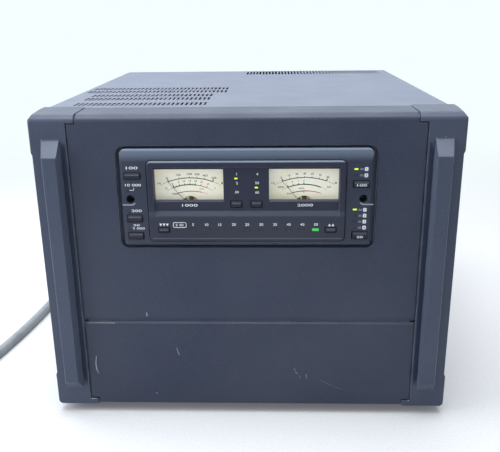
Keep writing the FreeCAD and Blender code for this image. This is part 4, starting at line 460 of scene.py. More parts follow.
def rounded_outline(x, z, w, h, radius, steps):
    """Points of a rounded rectangle, anticlockwise, with so many steps to a corner."""
    points = []
    for side, rise, start in ((1, 1, 0), (-1, 1, 90), (-1, -1, 180), (1, -1, 270)):
        middle = (x + side * (w / 2 - radius), z + rise * (h / 2 - radius))
        for step in range(steps + 1):
            angle = math.radians(start + 90 * step / steps)
            points.append((middle[0] + radius * math.cos(angle), middle[1] + radius * math.sin(angle)))
    return points


# ---------------------------------------------------------------- camera and cord
def add_camera():
    """Camera before the cabinet, looking a little down on it."""
    forward = Vector((
        math.sin(CAMERA_YAW) * math.cos(CAMERA_PITCH),
        math.cos(CAMERA_YAW) * math.cos(CAMERA_PITCH),
        -math.sin(CAMERA_PITCH),
    ))
    level = Vector((math.cos(CAMERA_YAW), -math.sin(CAMERA_YAW), 0.0))
    upright = level.cross(forward)
    right = level * math.cos(CAMERA_ROLL) + upright * math.sin(CAMERA_ROLL)
    up = upright * math.cos(CAMERA_ROLL) - level * math.sin(CAMERA_ROLL)
    lens = bpy.data.cameras.new("camera")
    lens.lens = CAMERA_LENS
    lens.clip_start = 0.01
    camera = bpy.data.objects.new("camera", lens)
    turned = Matrix((right, up, -forward)).transposed().to_4x4()
    camera.matrix_world = Matrix.Translation(CAMERA_PLACE) @ turned
    bpy.context.scene.collection.objects.link(camera)
    bpy.context.scene.camera = camera


def eased(value, span):
    """0 before the span, 1 after it, and smooth between."""
    share = min(max((value - span[0]) / (span[1] - span[0]), 0.0), 1.0)
    return share * share * (3 - 2 * share)


def coil_points():
    """Control points of the coil: outside low, inside low, inside high, outside high."""
    step = 2 * math.pi / TURN_POINTS
    swell = 4 / (3 + math.cos(step))
    points = []
    for index in range(int(COIL_TURNS * TURN_POINTS) + 1):
        turn = index / TURN_POINTS
        inward = eased(turn, SHIFT_IN) - eased(turn, SHIFT_OUT)
        radius = swell * (COIL_OUTER + (COIL_INNER - COIL_OUTER) * inward)
        height = COIL_LOW + (COIL_HIGH - COIL_LOW) * eased(turn, SHIFT_UP)
        angle = -2 * math.pi * turn
        points.append((
            COIL_MIDDLE[0] + radius * math.cos(angle),
            COIL_MIDDLE[1] + radius * math.sin(angle),
            height,
        ))
    return points


def add_cord(materials):
    """Mains cord: down behind the cabinet, along its left side, and coiled before the plug."""
    points = CORD_ROUTE + coil_points() + CORD_TAIL
    curve = bpy.data.curves.new("mains_cord_line", "CURVE")
    curve.dimensions = "3D"
    spline = curve.splines.new("NURBS")
    spline.points.add(len(points) - 1)
    for point, place in zip(spline.points, points):
        point.co = (*place, 1.0)
    spline.order_u = 3
    spline.use_endpoint_u = True
    spline.resolution_u = 5
    curve.bevel_depth = CORD_R
    curve.bevel_resolution = 5
    curve.use_fill_caps = True
    curve.materials.append(materials["cord_grey"])
    cord = bpy.data.objects.new("mains_cord_line", curve)
    bpy.context.scene.collection.objects.link(cord)
    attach(cord, "chassis")
    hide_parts("mains_cord", "mains_cord_coil")
    tie = cord_tie()


def cord_tie():
    """Hook-and-loop strap round the coil's four strands."""
    reach = CORD_R + TIE_THICK / 2
    left = COIL_INNER - reach
    right = COIL_OUTER + reach
    low = COIL_LOW - CORD_R + TIE_THICK / 2
    high = COIL_HIGH + reach
    middle = ((left + right) / 2, (low + high) / 2)
    shape = bmesh.new()
    rings = []
    for side in (-TIE_WIDTH / 2, TIE_WIDTH / 2):
        for thick in (-TIE_THICK / 2, TIE_THICK / 2):
            wide = right - left + 2 * thick
            tall = high - low + 2 * thick
            outline = rounded_outline(*middle, wide, tall, CORD_R + thick, 6)
            rings.append([shape.verts.new((
                COIL_MIDDLE[0] + side,
                COIL_MIDDLE[1] - radius,
                max(z, TIE_LOWEST),
            )) for radius, z in outline])
    inner_a, outer_a, inner_b, outer_b = rings
    around = (inner_a, outer_a, outer_b, inner_b, inner_a)
    for first, second in zip(around, around[1:]):
        bridge(shape, first, second)
    weave = rubber("tie_weave", (0.02, 0.02, 0.022), 0.8)
    return piece("cord_tie", to_mesh(shape, "cord_tie"), weave, "chassis")


# ---------------------------------------------------------------- printed marks
# The head's marks are placed in millimetres: x from the middle, rise from the
# middle height of the head. Plain numbers stand where labels belong.
HEAD_Z = 205.7
PRINT_PROUD = 0.03
PRINT_SUNK = 0.02
GLYPH_STEPS = 3
GLYPH_WEIGHT = 0.012
ZONE_SINK = 2.5
BUTTON_PROUD = 1.2
WHITE = (0.80, 0.84, 0.88)
SOFT_WHITE = (0.30, 0.33, 0.39)
BEZEL_HIGHLIGHT_COLOUR = (0.14, 0.16, 0.20)
BLACK = (0.012, 0.012, 0.014)
RED = (0.55, 0.05, 0.05)
GREY = (0.05, 0.055, 0.06)
METER_X = 47.4

GLYPHS = {}


def glyph(text):
    """Flat outline faces of a number, one unit high, centred."""
    if text not in GLYPHS:
        font = bpy.data.curves.new("glyph", "FONT")
        font.body = text
        font.resolution_u = GLYPH_STEPS
        font.offset = GLYPH_WEIGHT
        helper = bpy.data.objects.new("glyph", font)
        bpy.context.scene.collection.objects.link(helper)
        graph = bpy.context.evaluated_depsgraph_get()
        mesh = bpy.data.meshes.new_from_object(helper.evaluated_get(graph))
        bpy.data.objects.remove(helper)
        xs = [vertex.co.x for vertex in mesh.vertices]
        ys = [vertex.co.y for vertex in mesh.vertices]
        middle = ((min(xs) + max(xs)) / 2, (min(ys) + max(ys)) / 2)
        tall = max(ys) - min(ys)
        places = [((v.co.x - middle[0]) / tall, (v.co.y - middle[1]) / tall) for v in mesh.vertices]
        GLYPHS[text] = (places, [tuple(face.vertices) for face in mesh.polygons])
        bpy.data.meshes.remove(mesh)
    return GLYPHS[text]


class Print:
    """Marks of one colour on one flat surface that faces the front, or the top."""

    def __init__(self, name, colour, surface, top=False):
        self.name = name
        self.colour = colour
        self.top = top
        self.level = surface + PRINT_PROUD * MM * (1 if top else -1)
        self.shape = bmesh.new()

    def vertex(self, x, rise):
        """Point of a mark, on the front or on the top."""
        if self.top:
            return self.shape.verts.new((x * MM, rise * MM, self.level))
        return self.shape.verts.new((x * MM, self.level, (HEAD_Z + rise) * MM))

    def plate(self, corners):
        """Filled outline, anticlockwise."""
        self.shape.faces.new([self.vertex(x, rise) for x, rise in corners])

    def stroke(self, points, width, end_width=None):
        """Ribbon through the points, whose width may change along it."""
        end_width = width if end_width is None else end_width
        count = len(points)
        rows = []
        for index, (x, rise) in enumerate(points):
            before = points[max(index - 1, 0)]
            after = points[min(index + 1, count - 1)]
            dx, dz = after[0] - before[0], after[1] - before[1]
            length = math.hypot(dx, dz)
            half = (width + (end_width - width) * index / (count - 1)) / 2
            nx, nz = -dz / length * half, dx / length * half
            rows.append((self.vertex(x + nx, rise + nz), self.vertex(x - nx, rise - nz)))
        for first, second in zip(rows, rows[1:]):
            self.shape.faces.new((first[0], first[1], second[1], second[0]))

    def outline(self, x, rise, w, h, radius, width):
        """Rounded frame."""
        points = rounded_outline(x, rise, w, h, radius, 4)
        self.stroke(points + points[:1], width)

    def pad(self, x, rise, w, h, radius):
        """Filled rounded rectangle."""
        self.plate(rounded_outline(x, rise, w, h, radius, 4))

    def text(self, text, x, rise, tall, stretch=1.0):
        """Plain number."""
        places, faces = glyph(text)
        verts = [self.vertex(x + px * tall * stretch, rise + py * tall) for px, py in places]
        for face in faces:
            self.shape.faces.new([verts[index] for index in face])

    def label(self, text, x, rise, wide, tall):
        """Plain number drawn to a width."""
        across = [px for px, _ in glyph(text)[0]]
        self.text(text, x, rise, tall, wide / tall / (max(across) - min(across)))

    def finish(self, slot, body="control_head"):
        """Thickens the marks and puts them in the scene."""
        grown = bmesh.ops.extrude_face_region(self.shape, geom=self.shape.faces[:])
        moved = [item for item in grown["geom"] if isinstance(item, bmesh.types.BMVert)]
        thick = (PRINT_PROUD + PRINT_SUNK) * MM
        inwards = (0.0, 0.0, -thick) if self.top else (0.0, thick, 0.0)
        bmesh.ops.translate(self.shape, verts=moved, vec=inwards)
        piece(self.name, to_mesh(self.shape, self.name), ink(self.name, self.colour), body)


def arc(middle_x, top, radius, start, end):
    """Points of a scale's arc between two x values."""
    points = []
    for index in range(ARC_STEPS + 1):
        x = start + (end - start) * index / ARC_STEPS
        points.append((x, top - radius + math.sqrt(radius ** 2 - (x - middle_x) ** 2)))
    return points


def radial(middle_x, top, radius, x, inner, outer):
    """Line square to an arc at one x, from inner to outer beyond it."""
    foot = math.sqrt(radius ** 2 - (x - middle_x) ** 2)
    dx, dz = (x - middle_x) / radius, foot / radius
    start = (x, top - radius + foot)
    return [(start[0] + dx * reach, start[1] + dz * reach) for reach in (inner, outer)]


ARC_STEPS = 24
# middle x, top and radius of each scale's arc
SCALES = {
    "upper": (0.9, 16.2, 54.0),
    "middle": (0.5, 10.4, 37.6),
    "lower": (1.6, 4.8, 40.0),
}


def shifted(points, x):
    """Points moved along x."""
    return [(px + x, pz) for px, pz in points]


def scale_arc(target, meter, name, start, end, width, end_width=None):
    """Stretch of one scale's arc on a meter."""
    target.stroke(shifted(arc(*SCALES[name], start, end), meter), width, end_width)


def scale_ticks(target, meter, name, places, reach, width, end_width=None):
    """Ticks outside one scale's arc."""
    for x in places:
        target.stroke(shifted(radial(*SCALES[name], x, -0.2, reach), meter), width, end_width)


def scale_numbers(target, meter, name, places, numbers, reach, tall, stretch=1.0):
    """Numbers outside one scale's arc."""
    for x, number in zip(places, numbers):
        _, (nx, nz) = radial(*SCALES[name], x, 0.0, reach)
        target.text(number, meter + nx, nz, tall, stretch)


def first_meter(black, red, grey):
    """Left meter: two numbered scales with a red end, and a short one below."""
    x = -METER_X
    upper = (-17.4, -8.3, 0.4, 6.4, 12.6, 19.4)
    middle = (-12.9, -8.2, -3.9, 0.5, 4.9, 9.4, 14.3)
    scale_arc(black, x, "upper", -24.3, 26.0, 0.2)
    scale_arc(black, x, "upper", -17.4, 19.4, 0.7)
    scale_ticks(black, x, "upper", upper[1:-1], 1.2, 0.5)
    scale_ticks(black, x, "upper", (upper[0], upper[-1]), 2.0, 0.9)
    scale_numbers(grey, x, "upper", upper, ("0", "100", "200", "300", "400", "500"), 3.3, 1.8, 1.15)
    scale_arc(black, x, "middle", -18.5, -12.9, 0.2)
    scale_arc(black, x, "middle", -12.9, 5.6, 0.8)
    scale_arc(red, x, "middle", 5.6, 14.3, 0.6)
    scale_arc(red, x, "middle", 14.3, 19.6, 0.25)
    scale_ticks(black, x, "middle", middle[1:5], 1.3, 0.8)
    scale_ticks(black, x, "middle", [place + 2.2 for place in middle[:4]], 0.9, 0.5)
    scale_ticks(black, x, "middle", middle[:1], 2.0, 0.9)
    scale_ticks(red, x, "middle", middle[5:], 1.4, 0.6)
    scale_numbers(grey, x, "middle", middle[:5], ("0", "5", "10", "15", "20"), 3.3, 1.7)
    scale_numbers(red, x, "middle", middle[5:], ("25", "30"), 3.3, 1.7)
    scale_arc(black, x, "lower", -10.0, 3.0, 0.6)
    scale_arc(red, x, "lower", 3.0, 10.0, 0.65)
    scale_arc(red, x, "lower", 10.0, 15.1, 0.35, 0.2)
    grey.label("10", x - 25.2, 11.55, 2.6, 1.5)
    black.label("1", x + 27.2, 11.55, 1.1, 1.5)
    grey.label("20", x - 19.4, 7.3, 1.9, 1.5)
    red.label("2", x + 21.1, 7.3, 1.3, 1.3)
    red.label("300", x + 10.1, 6.7, 4.4, 1.1)
    grey.label("300", x - 12.4, 2.55, 5.2, 1.5)


def second_meter(black, red, grey):
    """Right meter: an even scale, a short one that ends in a grey band, and a third below."""
    x = METER_X
    upper = [-17.4 + 6.0 * index for index in range(7)]
    middle = (-12.9, -8.6, -4.3, 0.0)
    scale_arc(black, x, "upper", -24.3, 25.5, 0.2)
    scale_arc(black, x, "upper", -17.4, 18.6, 0.7)
    scale_ticks(black, x, "upper", upper[1:-1], 1.2, 0.5)
    scale_ticks(black, x, "upper", (upper[0], upper[-1]), 2.0, 0.9)
    scale_numbers(grey, x, "upper", upper, ("0", "15", "30", "45", "60", "75", "90"), 3.3, 1.8)
    scale_arc(black, x, "middle", -18.0, -12.9, 0.2)
    scale_arc(black, x, "middle", -12.9, 0.0, 0.8)
    scale_arc(grey, x, "middle", 0.0, 14.0, 0.95)
    scale_arc(black, x, "middle", 14.0, 19.0, 0.2)
    scale_ticks(black, x, "middle", middle[1:3], 1.3, 0.8)
    scale_ticks(black, x, "middle", (middle[0], middle[-1]), 1.7, 0.8)
    scale_numbers(grey, x, "middle", middle, ("1", "2", "3", "4"), 3.4, 1.5)
    scale_arc(black, x, "lower", -9.5, 0.3, 0.7)
    scale_ticks(black, x, "lower", (0.0,), -1.3, 0.6)
    scale_arc(red, x, "lower", 0.3, 14.5, 0.8, 0.4)
    grey.label("10", x - 25.4, 11.4, 2.4, 1.5)
    black.label("1", x + 26.4, 11.5, 1.1, 1.3)
    black.label("200", x - 18.9, 8.2, 5.2, 1.6)
    grey.label("20", x + 20.5, 8.1, 3.4, 1.4)
    grey.label("300", x - 12.0, 2.5, 4.3, 1.3)
    grey.label("400", x - 1.9, 7.0, 4.8, 1.2)


def add_dials(materials):
    """Printed scales, and the covers over the movements, of both meters."""
    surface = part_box("meter_dials")[0][1]
    black = Print("dial_print_black", BLACK, surface)
    red = Print("dial_print_red", RED, surface)
    grey = Print("dial_print_grey", GREY, surface)
    first_meter(black, red, grey)
    second_meter(black, red, grey)
    for target in (black, red, grey):
        target.finish("dial_cream")
    movement_cover("movement_cover_1", -METER_X, (-23, 50), (-2, 28), surface, materials)
    movement_cover("movement_cover_2", METER_X, (-25, 41), (-12, 19), surface, materials)


# the cover over a meter's movement, in millimetres from the needle's pivot
PIVOT_RISE = -7.45
COVER_R = 8.6
COVER_BORE = 3.4
COVER_DEPTHS = (1.05, 0.55)      # front and back, before the dial
CROWN_R = 8.5
CROWN_BORE = 5.6
CROWN_DEPTHS = (1.2, 1.0)
AMBER_SPAN = (-4.0, 5.0)
# the pale yellow is a painted highlight on each shade's left; the deep orange is its own colour
AMBER_HIGHLIGHT = (0.80, 0.78, 0.36)
AMBER_DEEP = (0.78, 0.42, 0.16)


def sector(inner, outer, angles, depths, dial, centre, count=20):
    """Piece of a ring between two angles from upright, in degrees, and two depths before the dial."""
    start, end = angles
    shape = bmesh.new()
    rows = []
    for index in range(count + 1):
        angle = math.radians(start + (end - start) * index / count)
        row = []
        for radius in (inner, outer):
            for depth in depths:
                x = centre[0] + radius * math.sin(angle)
                z = centre[1] + radius * math.cos(angle)
                row.append(shape.verts.new((x * MM, dial - depth * MM, z * MM)))
        rows.append(row)
    for first, second in zip(rows, rows[1:]):
        for a, b in ((0, 1), (1, 3), (3, 2), (2, 0)):
            shape.faces.new((first[a], first[b], second[b], second[a]))
    for row in (rows[0], rows[-1]):
        shape.faces.new((row[0], row[1], row[3], row[2]))
    return shape


def amber(name, x):
    """Lamp shade in its own orange, with a painted highlight that turns it pale yellow towards its
    left.
    """
    made = Material(name, (0.85, 0.72, 0.40), 0.35)
    across = made.node("ShaderNodeSeparateXYZ", Vector=made.place).outputs["X"]
    share = made.spread(across, *((x + end) * MM for end in AMBER_SPAN))
    made.feed("Base Color", made.mix(share, AMBER_HIGHLIGHT, AMBER_DEEP))
    made.feed("Roughness", made.uneven(made.noise(300.0), 0.3, 0.45))
    return made.data


def movement_cover(name, x, shade, crown, dial, materials):
    """Amber shade over the movement with its dark crown, each between two angles."""
    centre = (x, HEAD_Z + PIVOT_RISE)
    shroud = sector(COVER_BORE, COVER_R, shade, COVER_DEPTHS, dial, centre)
    piece(name, to_mesh(shroud, name), amber(name + "_amber", x), "control_head")
    dark = sector(CROWN_BORE, CROWN_R, crown, CROWN_DEPTHS, dial, centre, 8)
    name += "_crown"
    piece(name, to_mesh(dark, name), materials["housing_black"], "control_head")


BAND_X = (-44.5, -33.1, -22.1, -10.6, 0.5, 12.2, 23.6, 34.9, 46.2, 57.4)
BAND_RISE = -21.5
BEZEL_HIGHLIGHT_RISE = -33.7


def arrow(target, x, rise, half, up):
    """Small triangle that points up or down."""
    tip = half if up else -half
    corners = [(x - half, rise - tip), (x + half, rise - tip), (x, rise + tip)]
    target.plate(corners if up else corners[::-1])


def bezel_marks():
    """Numbers over the band lenses, the signs of its two buttons, and a painted highlight line near
    its lower edge.
    """
    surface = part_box("meter_bezel")[0][1]
    white = Print("bezel_print", WHITE, surface)
    for index, x in enumerate(BAND_X):
        white.text(str(5 * (index + 1)), x, BAND_RISE, 2.3, 1.1)
    white.outline(-55.7, BAND_RISE - 0.3, 10.8, 4.4, 1.4, 0.5)
    white.label("5", -58.3, BAND_RISE - 0.3, 1.5, 2.2)
    white.label("50", -54.3, BAND_RISE - 0.3, 3.4, 2.2)
    for x in (-71.6, -68.8, -66.0):
        arrow(white, x, -21.8, 1.2, False)
    for x in (68.6, 71.4):
        arrow(white, x, -21.8, 1.2, True)
    white.finish("bezel_plastic")
    # painted highlight: a pale line where the bezel's lower edge would catch the light
    line = Print("bezel_edge_highlight", BEZEL_HIGHLIGHT_COLOUR, surface)
    line.stroke([(-78.5, BEZEL_HIGHLIGHT_RISE), (78.5, BEZEL_HIGHLIGHT_RISE)], 0.35)
    line.finish("bezel_plastic")


def zone_marks():
    """Captions below the windows and over the six lenses between them."""
    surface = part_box("meter_bezel")[0][1] + ZONE_SINK * MM
    white = Print("zone_print", WHITE, surface)
    white.label("1000", -46.9, -5.5, 13.0, 2.3)
    white.label("2000", 48.3, -5.5, 13.0, 2.3)
    captions = {
        (-7.7, 20.9): "1", (-7.5, 13.3): "2", (-7.7, 5.7): "30",
        (9.1, 20.9): "4", (9.0, 13.4): "50", (9.0, 5.4): "60",
    }
    for (x, rise), number in captions.items():
        white.text(number, x, rise, 2.1, 1.15)
    white.finish("bezel_plastic")


ROUTE_RISES = (24.8, 19.6, -9.5, -14.5, -19.7, -24.9)
ROUTE_NUMBERS = ("1", "2", "1", "2", "3", "4")
ROUTE_X = 97.4
SIGN_RISE = -4.9
SIGN_HALF = 5.3
SIGN_HOOK = 1.5
SIGN_STEPS = 12


def turn_sign(target, x, side):
    """Line under a screw, whose last quarter bends up at the right (1) or the left (-1)."""
    points = []
    for index in range(SIGN_STEPS + 1):
        along = 2 * index / SIGN_STEPS - 1
        bend = max(2 * side * along - 1, 0.0)
        points.append((x + SIGN_HALF * along, SIGN_RISE + SIGN_HOOK * bend ** 2))
    target.stroke(points, 1.1)


def face_marks():
    """Numbers beside the face's buttons and lenses, and the signs under the two screws."""
    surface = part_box("controller_face")[0][1]
    white = Print("face_print", WHITE, surface)
    soft = Print("face_print_soft", SOFT_WHITE, surface)
    dark = Print("face_print_dark", BLACK, surface - PRINT_PROUD * MM)
    white.label("100", -93.2, 26.4, 9.6, 2.3)
    white.label("10 000", -93.0, 12.0, 13.2, 2.2)
    white.stroke([(-96.4, 7.6), (-92.8, 7.6), (-92.5, 9.6)], 0.5)
    white.label("200", -91.4, -10.0, 8.6, 2.2)
    white.label("30", -92.3, -22.6, 5.6, 1.8)
    white.label("3 000", -90.6, -25.4, 10.4, 1.8)
    for rise, number in zip(ROUTE_RISES, ROUTE_NUMBERS):
        white.pad(ROUTE_X, rise, 2.9, 3.2, 0.7)
        dark.text(number, ROUTE_X, rise, 1.8, 1.0)
        soft.stroke([(92.3, rise + 0.4), (95.0, rise + 0.4)], 0.45)
        soft.stroke([(92.3, rise - 0.5), (95.0, rise - 0.5)], 0.45)
    turn_sign(soft, -97.6, 1)
    turn_sign(soft, 98.8, -1)
    for target in (white, soft, dark):
        target.finish("head_plastic")


BUTTON_NODES = ("power_button", "tuner_button", "amplifier_button", "input_button", "antenna_button",
                "meter_1_button", "meter_2_button", "band_down_button", "band_up_button")
HIGHLIGHT_DROP = 3.1            # top of a button's hidden flange to the painted highlight line
HIGHLIGHT_INSET = 0.9
HIGHLIGHT_WIDTH = 0.5
BUTTON_HIGHLIGHT_COLOUR = (0.13, 0.145, 0.18)


def button_edge_highlights():
    """Painted highlight along the upper edge of each button, which moves with it."""
    for node in BUTTON_NODES:
        low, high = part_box(node)
        # painted highlight: the pale line stands for light caught by the button's sloped upper edge
        pale_marks = Print(node + "_edge", BUTTON_HIGHLIGHT_COLOUR, low[1])
        rise = high[2] / MM - HIGHLIGHT_DROP - HEAD_Z
        pale_marks.stroke([(low[0] / MM + HIGHLIGHT_INSET, rise), (high[0] / MM - HIGHLIGHT_INSET, rise)], HIGHLIGHT_WIDTH)
        pale_marks.finish("button_plastic", node)


def button_marks():
    """Numbers on the two routing buttons, which move with them."""
    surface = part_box("controller_face")[0][1] - BUTTON_PROUD * MM
    inlet = Print("input_button_print", WHITE, surface)
    inlet.label("100", 94.1, 11.6, 8.0, 2.0)
    inlet.finish("button_plastic", "input_button")
    aerial = Print("antenna_button_print", WHITE, surface)
    aerial.label("20", 94.0, -32.8, 5.2, 2.0)
    aerial.finish("button_plastic", "antenna_button")


# ---------------------------------------------------------------- wear
# x and height above the floor on the front, x and y on the top, in millimetres
SCRATCHES = {
    "lower_front_cover": [
        ([(-137.5, 58.0), (-138.5, 51.2), (-138.4, 45.7)], 0.5, 0.9),
        ([(-138.4, 45.7), (-137.6, 42.4), (-136.5, 39.9)], 0.9, 0.2),
        ([(-64.3, 67.0), (-63.4, 63.0), (-62.1, 59.4)], 0.25, 0.35),
        ([(-84.9, 20.6), (-84.2, 19.8)], 0.8, 0.5),
        ([(-142.0, 91.0), (-131.0, 91.2), (-118.0, 91.0)], 0.25, 0.45),
    ],
    "front_panel": [
        ([(-89.4, 101.4), (-89.1, 99.6), (-89.3, 97.8)], 0.5, 0.8),
    ],
    "handle_rail_left": [
        ([(-145.4, 13.9), (-141.2, 13.8)], 0.6, 0.4),
    ],
    "handle_rail_right": [
        ([(144.2, 14.6), (145.2, 13.9)], 0.9, 0.6),
        ([(159.1, 255.8), (160.0, 255.6)], 0.8, 0.5),
    ],
}
TOP_SCRATCHES = [([(1.2, -125.0), (2.2, -126.0)], 0.9, 0.6)]
SMUDGES = {
    "lower_front_cover": [
        ([(41.0, 46.6), (41.6, 44.2)], 0.9, 1.1),
        ([(42.0, 43.2), (43.4, 40.8)], 1.3, 0.9),
        ([(43.8, 42.2), (44.2, 41.2)], 0.7, 0.5),
        ([(45.6, 39.4), (46.2, 36.4)], 0.8, 0.5),
        ([(51.7, 40.8), (52.0, 38.6)], 1.0, 1.3),
        ([(52.0, 38.2), (52.2, 36.2)], 1.2, 0.7),
        ([(63.8, 35.0), (73.5, 29.8), (83.7, 25.4)], 0.3, 0.25),
    ],
}
SCRATCH_COLOUR = (0.42, 0.46, 0.52)
SMUDGE_COLOUR = (0.13, 0.16, 0.21)


def front_wear(ending, colour, pale_marks):
    """Marks of one colour on the pieces of the front."""
    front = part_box("lower_front_cover")[0][1]
    for node, strokes in pale_marks.items():
        marks = Print(node + ending, colour, front)
        for points, width, end_width in strokes:
            marks.stroke([(x, z - HEAD_Z) for x, z in points], width, end_width)
        marks.finish("front_moulding", "chassis")


def add_wear():
    """Light scratches, chips and smudges where the cabinet has been knocked and handled."""
    front_wear("_scratches", SCRATCH_COLOUR, SCRATCHES)
    front_wear("_smudges", SMUDGE_COLOUR, SMUDGES)
    marks = Print("top_scratches", SCRATCH_COLOUR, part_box("top_cover")[1][2], top=True)
    for points, width, end_width in TOP_SCRATCHES:
        marks.stroke(points, width, end_width)
    marks.finish("cover_paint", "chassis")


# ---------------------------------------------------------------- rear connectors
SOCKET_PLACES = [(-145.0 + 36.0 * index, 230.0) for index in range(4)]
SOCKET_PLACES += [(-145.0 + 36.0 * index, 184.0) for index in range(2)]
SOCKET_FLANGE = 25.4
SOCKET_FLANGE_T = 1.6
SOCKET_CORNER = 2.0
SCREW_OFFSET = 9.1
SOCKET_REACH = 11.0
SOCKET_R = 7.94
SOCKET_BORE = 6.4
THREAD_PITCH = 1.06
THREAD_TURNS = 9
THREAD_ROOT = SOCKET_R - 0.45
THREAD_CLEAR = 0.6         # plain barrel before the thread
SOCKET_SUNK = 1.0          # start of the barrel inside the panel
SOCKET_FLOOR = 2.0
CONTACT_R = 2.9
CONTACT_BORE = 2.0
# turned profiles: reach behind the rear panel, and radius
INSULATOR_PROFILE = (
    (0.5, SOCKET_BORE + 0.2), (3.2, SOCKET_BORE - 0.1), (3.4, 4.4), (8.4, 4.2), (8.8, 3.8), (8.8, 3.0),
    (3.0, 3.0),
)
CONTACT_PROFILE = (
    (1.0, CONTACT_R), (9.8, CONTACT_R), (10.2, CONTACT_R - 0.3), (10.2, CONTACT_BORE),
    (3.0, CONTACT_BORE),
)
SCREW_PROFILE = ((1.4, 2.6), (2.4, 2.6), (3.1, 1.9), (3.2, 0.9), (2.3, 0.8))


def lathe(profile, centre, start, steps=40):
    """Turned form round a line to the rear; profile points are (reach, radius) in millimetres."""
    shape = bmesh.new()
    rings = []
    for reach, radius in profile:
        ring = []
        for index in range(steps):
            angle = 2 * math.pi * index / steps
            x = centre[0] + radius * math.cos(angle)
            z = centre[1] + radius * math.sin(angle)
            ring.append(shape.verts.new((x * MM, start + reach * MM, z * MM)))
        rings.append(ring)
    for first, second in zip(rings, rings[1:]):
        bridge(shape, first, second)
    shape.faces.new(rings[0])
    shape.faces.new(rings[-1][::-1])
    return shape


def thread_profile():
    """Barrel with thread ridges outside and a plain bore inside."""
    profile = [(-SOCKET_SUNK, THREAD_ROOT), (SOCKET_FLANGE_T, THREAD_ROOT)]
    for index in range(THREAD_TURNS):
        reach = SOCKET_FLANGE_T + THREAD_CLEAR + index * THREAD_PITCH
        profile += [(reach, THREAD_ROOT), (reach + THREAD_PITCH / 2, SOCKET_R)]
    end = SOCKET_FLANGE_T + SOCKET_REACH
    return profile + [(end, THREAD_ROOT), (end, SOCKET_BORE), (SOCKET_FLOOR, SOCKET_BORE)]


def flange_plate(centre, back):
    """Square flange with rounded corners."""
    corners = rounded_outline(*centre, SOCKET_FLANGE, SOCKET_FLANGE, SOCKET_CORNER, 3)
    shape = bmesh.new()
    near, far = [
        [shape.verts.new((x * MM, y, z * MM)) for x, z in corners]
        for y in (back, back + SOCKET_FLANGE_T * MM)
    ]
    bridge(shape, near, far)
    shape.faces.new(near)
    shape.faces.new(far[::-1])
    return shape


def rear_piece(name, shapes, material):
    """Piece on the chassis that joins several shapes."""
    whole = bmesh.new()
    for shape in shapes:
        part = to_mesh(shape, name)
        whole.from_mesh(part)
        bpy.data.meshes.remove(part)
    return piece(name, to_mesh(whole, name), material, "chassis")


def add_coax_sockets(materials):
    """Threaded sockets with flanges, screws, white insulators and bored contacts."""
    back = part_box("rear_panel")[1][1]
    shells, insulators, contacts, screws = [], [], [], []
    for centre in SOCKET_PLACES:
        shells.append(flange_plate(centre, back))
        shells.append(lathe(thread_profile(), centre, back))
        insulators.append(lathe(INSULATOR_PROFILE, centre, back))
        contacts.append(lathe(CONTACT_PROFILE, centre, back, 24))
        for dx in (-SCREW_OFFSET, SCREW_OFFSET):
            for dz in (-SCREW_OFFSET, SCREW_OFFSET):
                screws.append(lathe(SCREW_PROFILE, (centre[0] + dx, centre[1] + dz), back, 16))
    shell = rear_piece("coax_socket_shells", shells, materials["socket_nickel"])
    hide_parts("coax_sockets")
    white = plastic("socket_insulator", (0.74, 0.73, 0.69), 0.4)
    rear_piece("coax_insulators", insulators, white)
    rear_piece("coax_contacts", contacts, materials["pinion_brass"])
    rear_piece("coax_flange_screws", screws, materials["motor_steel"])


# ---------------------------------------------------------------- studio
def seen_rays(tree):
    """1 for rays of the camera, of gloss and through glass, and 0 for light on the object."""
    path = tree.nodes.new("ShaderNodeLightPath")
    seen = path.outputs["Is Camera Ray"]
    for name in ("Is Glossy Ray", "Is Transmission Ray"):
        either = tree.nodes.new("ShaderNodeMath")
        either.operation = "MAXIMUM"
        tree.links.new(seen, either.inputs[0])
        tree.links.new(path.outputs[name], either.inputs[1])
        seen = either.outputs[0]
    return seen


def blend_shaders(tree, share, first, second, output):
    """Sends two shaders, mixed by a share, to the tree's output."""
    blend = tree.nodes.new("ShaderNodeMixShader")
    tree.links.new(share, blend.inputs["Fac"])
    tree.links.new(first.outputs[0], blend.inputs[1])
    tree.links.new(second.outputs[0], blend.inputs[2])
    tree.links.new(blend.outputs[0], tree.nodes[output].inputs["Surface"])


def floor_material():
    """Pale sheet that keeps the object's shadow; its far part is white to the camera and to gloss."""
    made = Material("studio_sheet", FLOOR_COLOUR, FLOOR_ROUGHNESS)
    flecks = made.spread(made.noise(FLOOR_GRAIN), *FLECK_RANGE)
    seen = seen_rays(made.tree)
    made.feed("Base Color", made.mix(flecks, FLOOR_FLECK, FLOOR_COLOUR))
    made.feed("Emission Color", (1.0, 1.0, 1.0))
    made.feed("Emission Strength", made.product(seen, FLOOR_FILL))
    made.feed("Specular IOR Level", 0.0)
    depth = made.node("ShaderNodeSeparateXYZ", Vector=made.place).outputs["Y"]
    far = made.product(seen, made.spread(depth, *GLOW_RANGE, kind="SMOOTHSTEP"))
    glow = made.node("ShaderNodeEmission", Color=WALL_COLOUR)
    blend_shaders(made.tree, far, made.shader, glow, "Material Output")
    return made.data


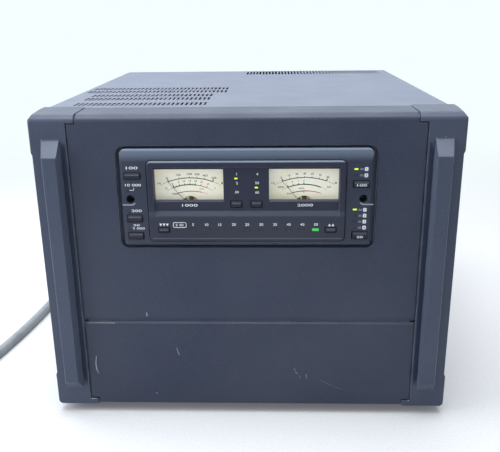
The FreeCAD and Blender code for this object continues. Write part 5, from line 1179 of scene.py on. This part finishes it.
def add_floor():
    """Sheet that lies flat under the object and curves up behind it."""
    rows = [(-FLOOR_HALF, 0.0), (WALL_DISTANCE, 0.0)]
    for step in range(1, CURVE_STEPS + 1):
        angle = math.radians(90 * step / CURVE_STEPS)
        rows.append((WALL_DISTANCE + WALL_CURVE * math.sin(angle), WALL_CURVE * (1 - math.cos(angle))))
    rows.append((WALL_DISTANCE + WALL_CURVE, WALL_HEIGHT))
    shape = bmesh.new()
    verts = [[shape.verts.new((x, y, z)) for x in (-FLOOR_HALF, FLOOR_HALF)] for y, z in rows]
    for first, second in zip(verts, verts[1:]):
        shape.faces.new((first[0], first[1], second[1], second[0]))
    mesh = to_mesh(shape, "studio_sheet", True)
    mesh.materials.append(floor_material())
    floor = bpy.data.objects.new("studio_sheet", mesh)
    bpy.context.scene.collection.objects.link(floor)


def area_light(name, place, target, size, power, colour):
    """Soft light that faces a point."""
    data = bpy.data.lights.new(name, "AREA")
    data.shape = "RECTANGLE"
    data.size, data.size_y = size
    data.energy = power
    data.color = colour
    light = bpy.data.objects.new(name, data)
    light.location = place
    light.rotation_euler = (Vector(target) - Vector(place)).to_track_quat("-Z", "Y").to_euler()
    bpy.context.scene.collection.objects.link(light)


def add_lights():
    """Pale surroundings, a soft light overhead and a weaker one from the left."""
    world = bpy.data.worlds.new("studio")
    world.use_nodes = True
    tree = world.node_tree
    sky = tree.nodes["Background"]
    sky.inputs["Color"].default_value = (*SKY_COLOUR, 1.0)
    sky.inputs["Strength"].default_value = SKY_STRENGTH
    wall = tree.nodes.new("ShaderNodeBackground")
    wall.inputs["Color"].default_value = (*WALL_COLOUR, 1.0)
    blend_shaders(tree, seen_rays(tree), sky, wall, "World Output")
    bpy.context.scene.world = world
    for name, values in LIGHTS.items():
        area_light(name, *values)


# ---------------------------------------------------------------- the scene
def flat(bounds):
    """The two corners of a box as plain lists."""
    return [list(map(float, corner)) for corner in bounds]


def main():
    """Builds the whole scene over the frame."""
    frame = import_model()
    add_camera()
    materials = slot_materials()
    dress_nodes(materials, frame["nodes"], frame["record"])
    add_cord(materials)
    add_dials(materials)
    bezel_marks()
    zone_marks()
    face_marks()
    button_edge_highlights()
    button_marks()
    add_wear()
    add_coax_sockets(materials)
    add_floor()
    add_lights()
    bpy.context.scene.view_settings.view_transform = "Standard"


main()
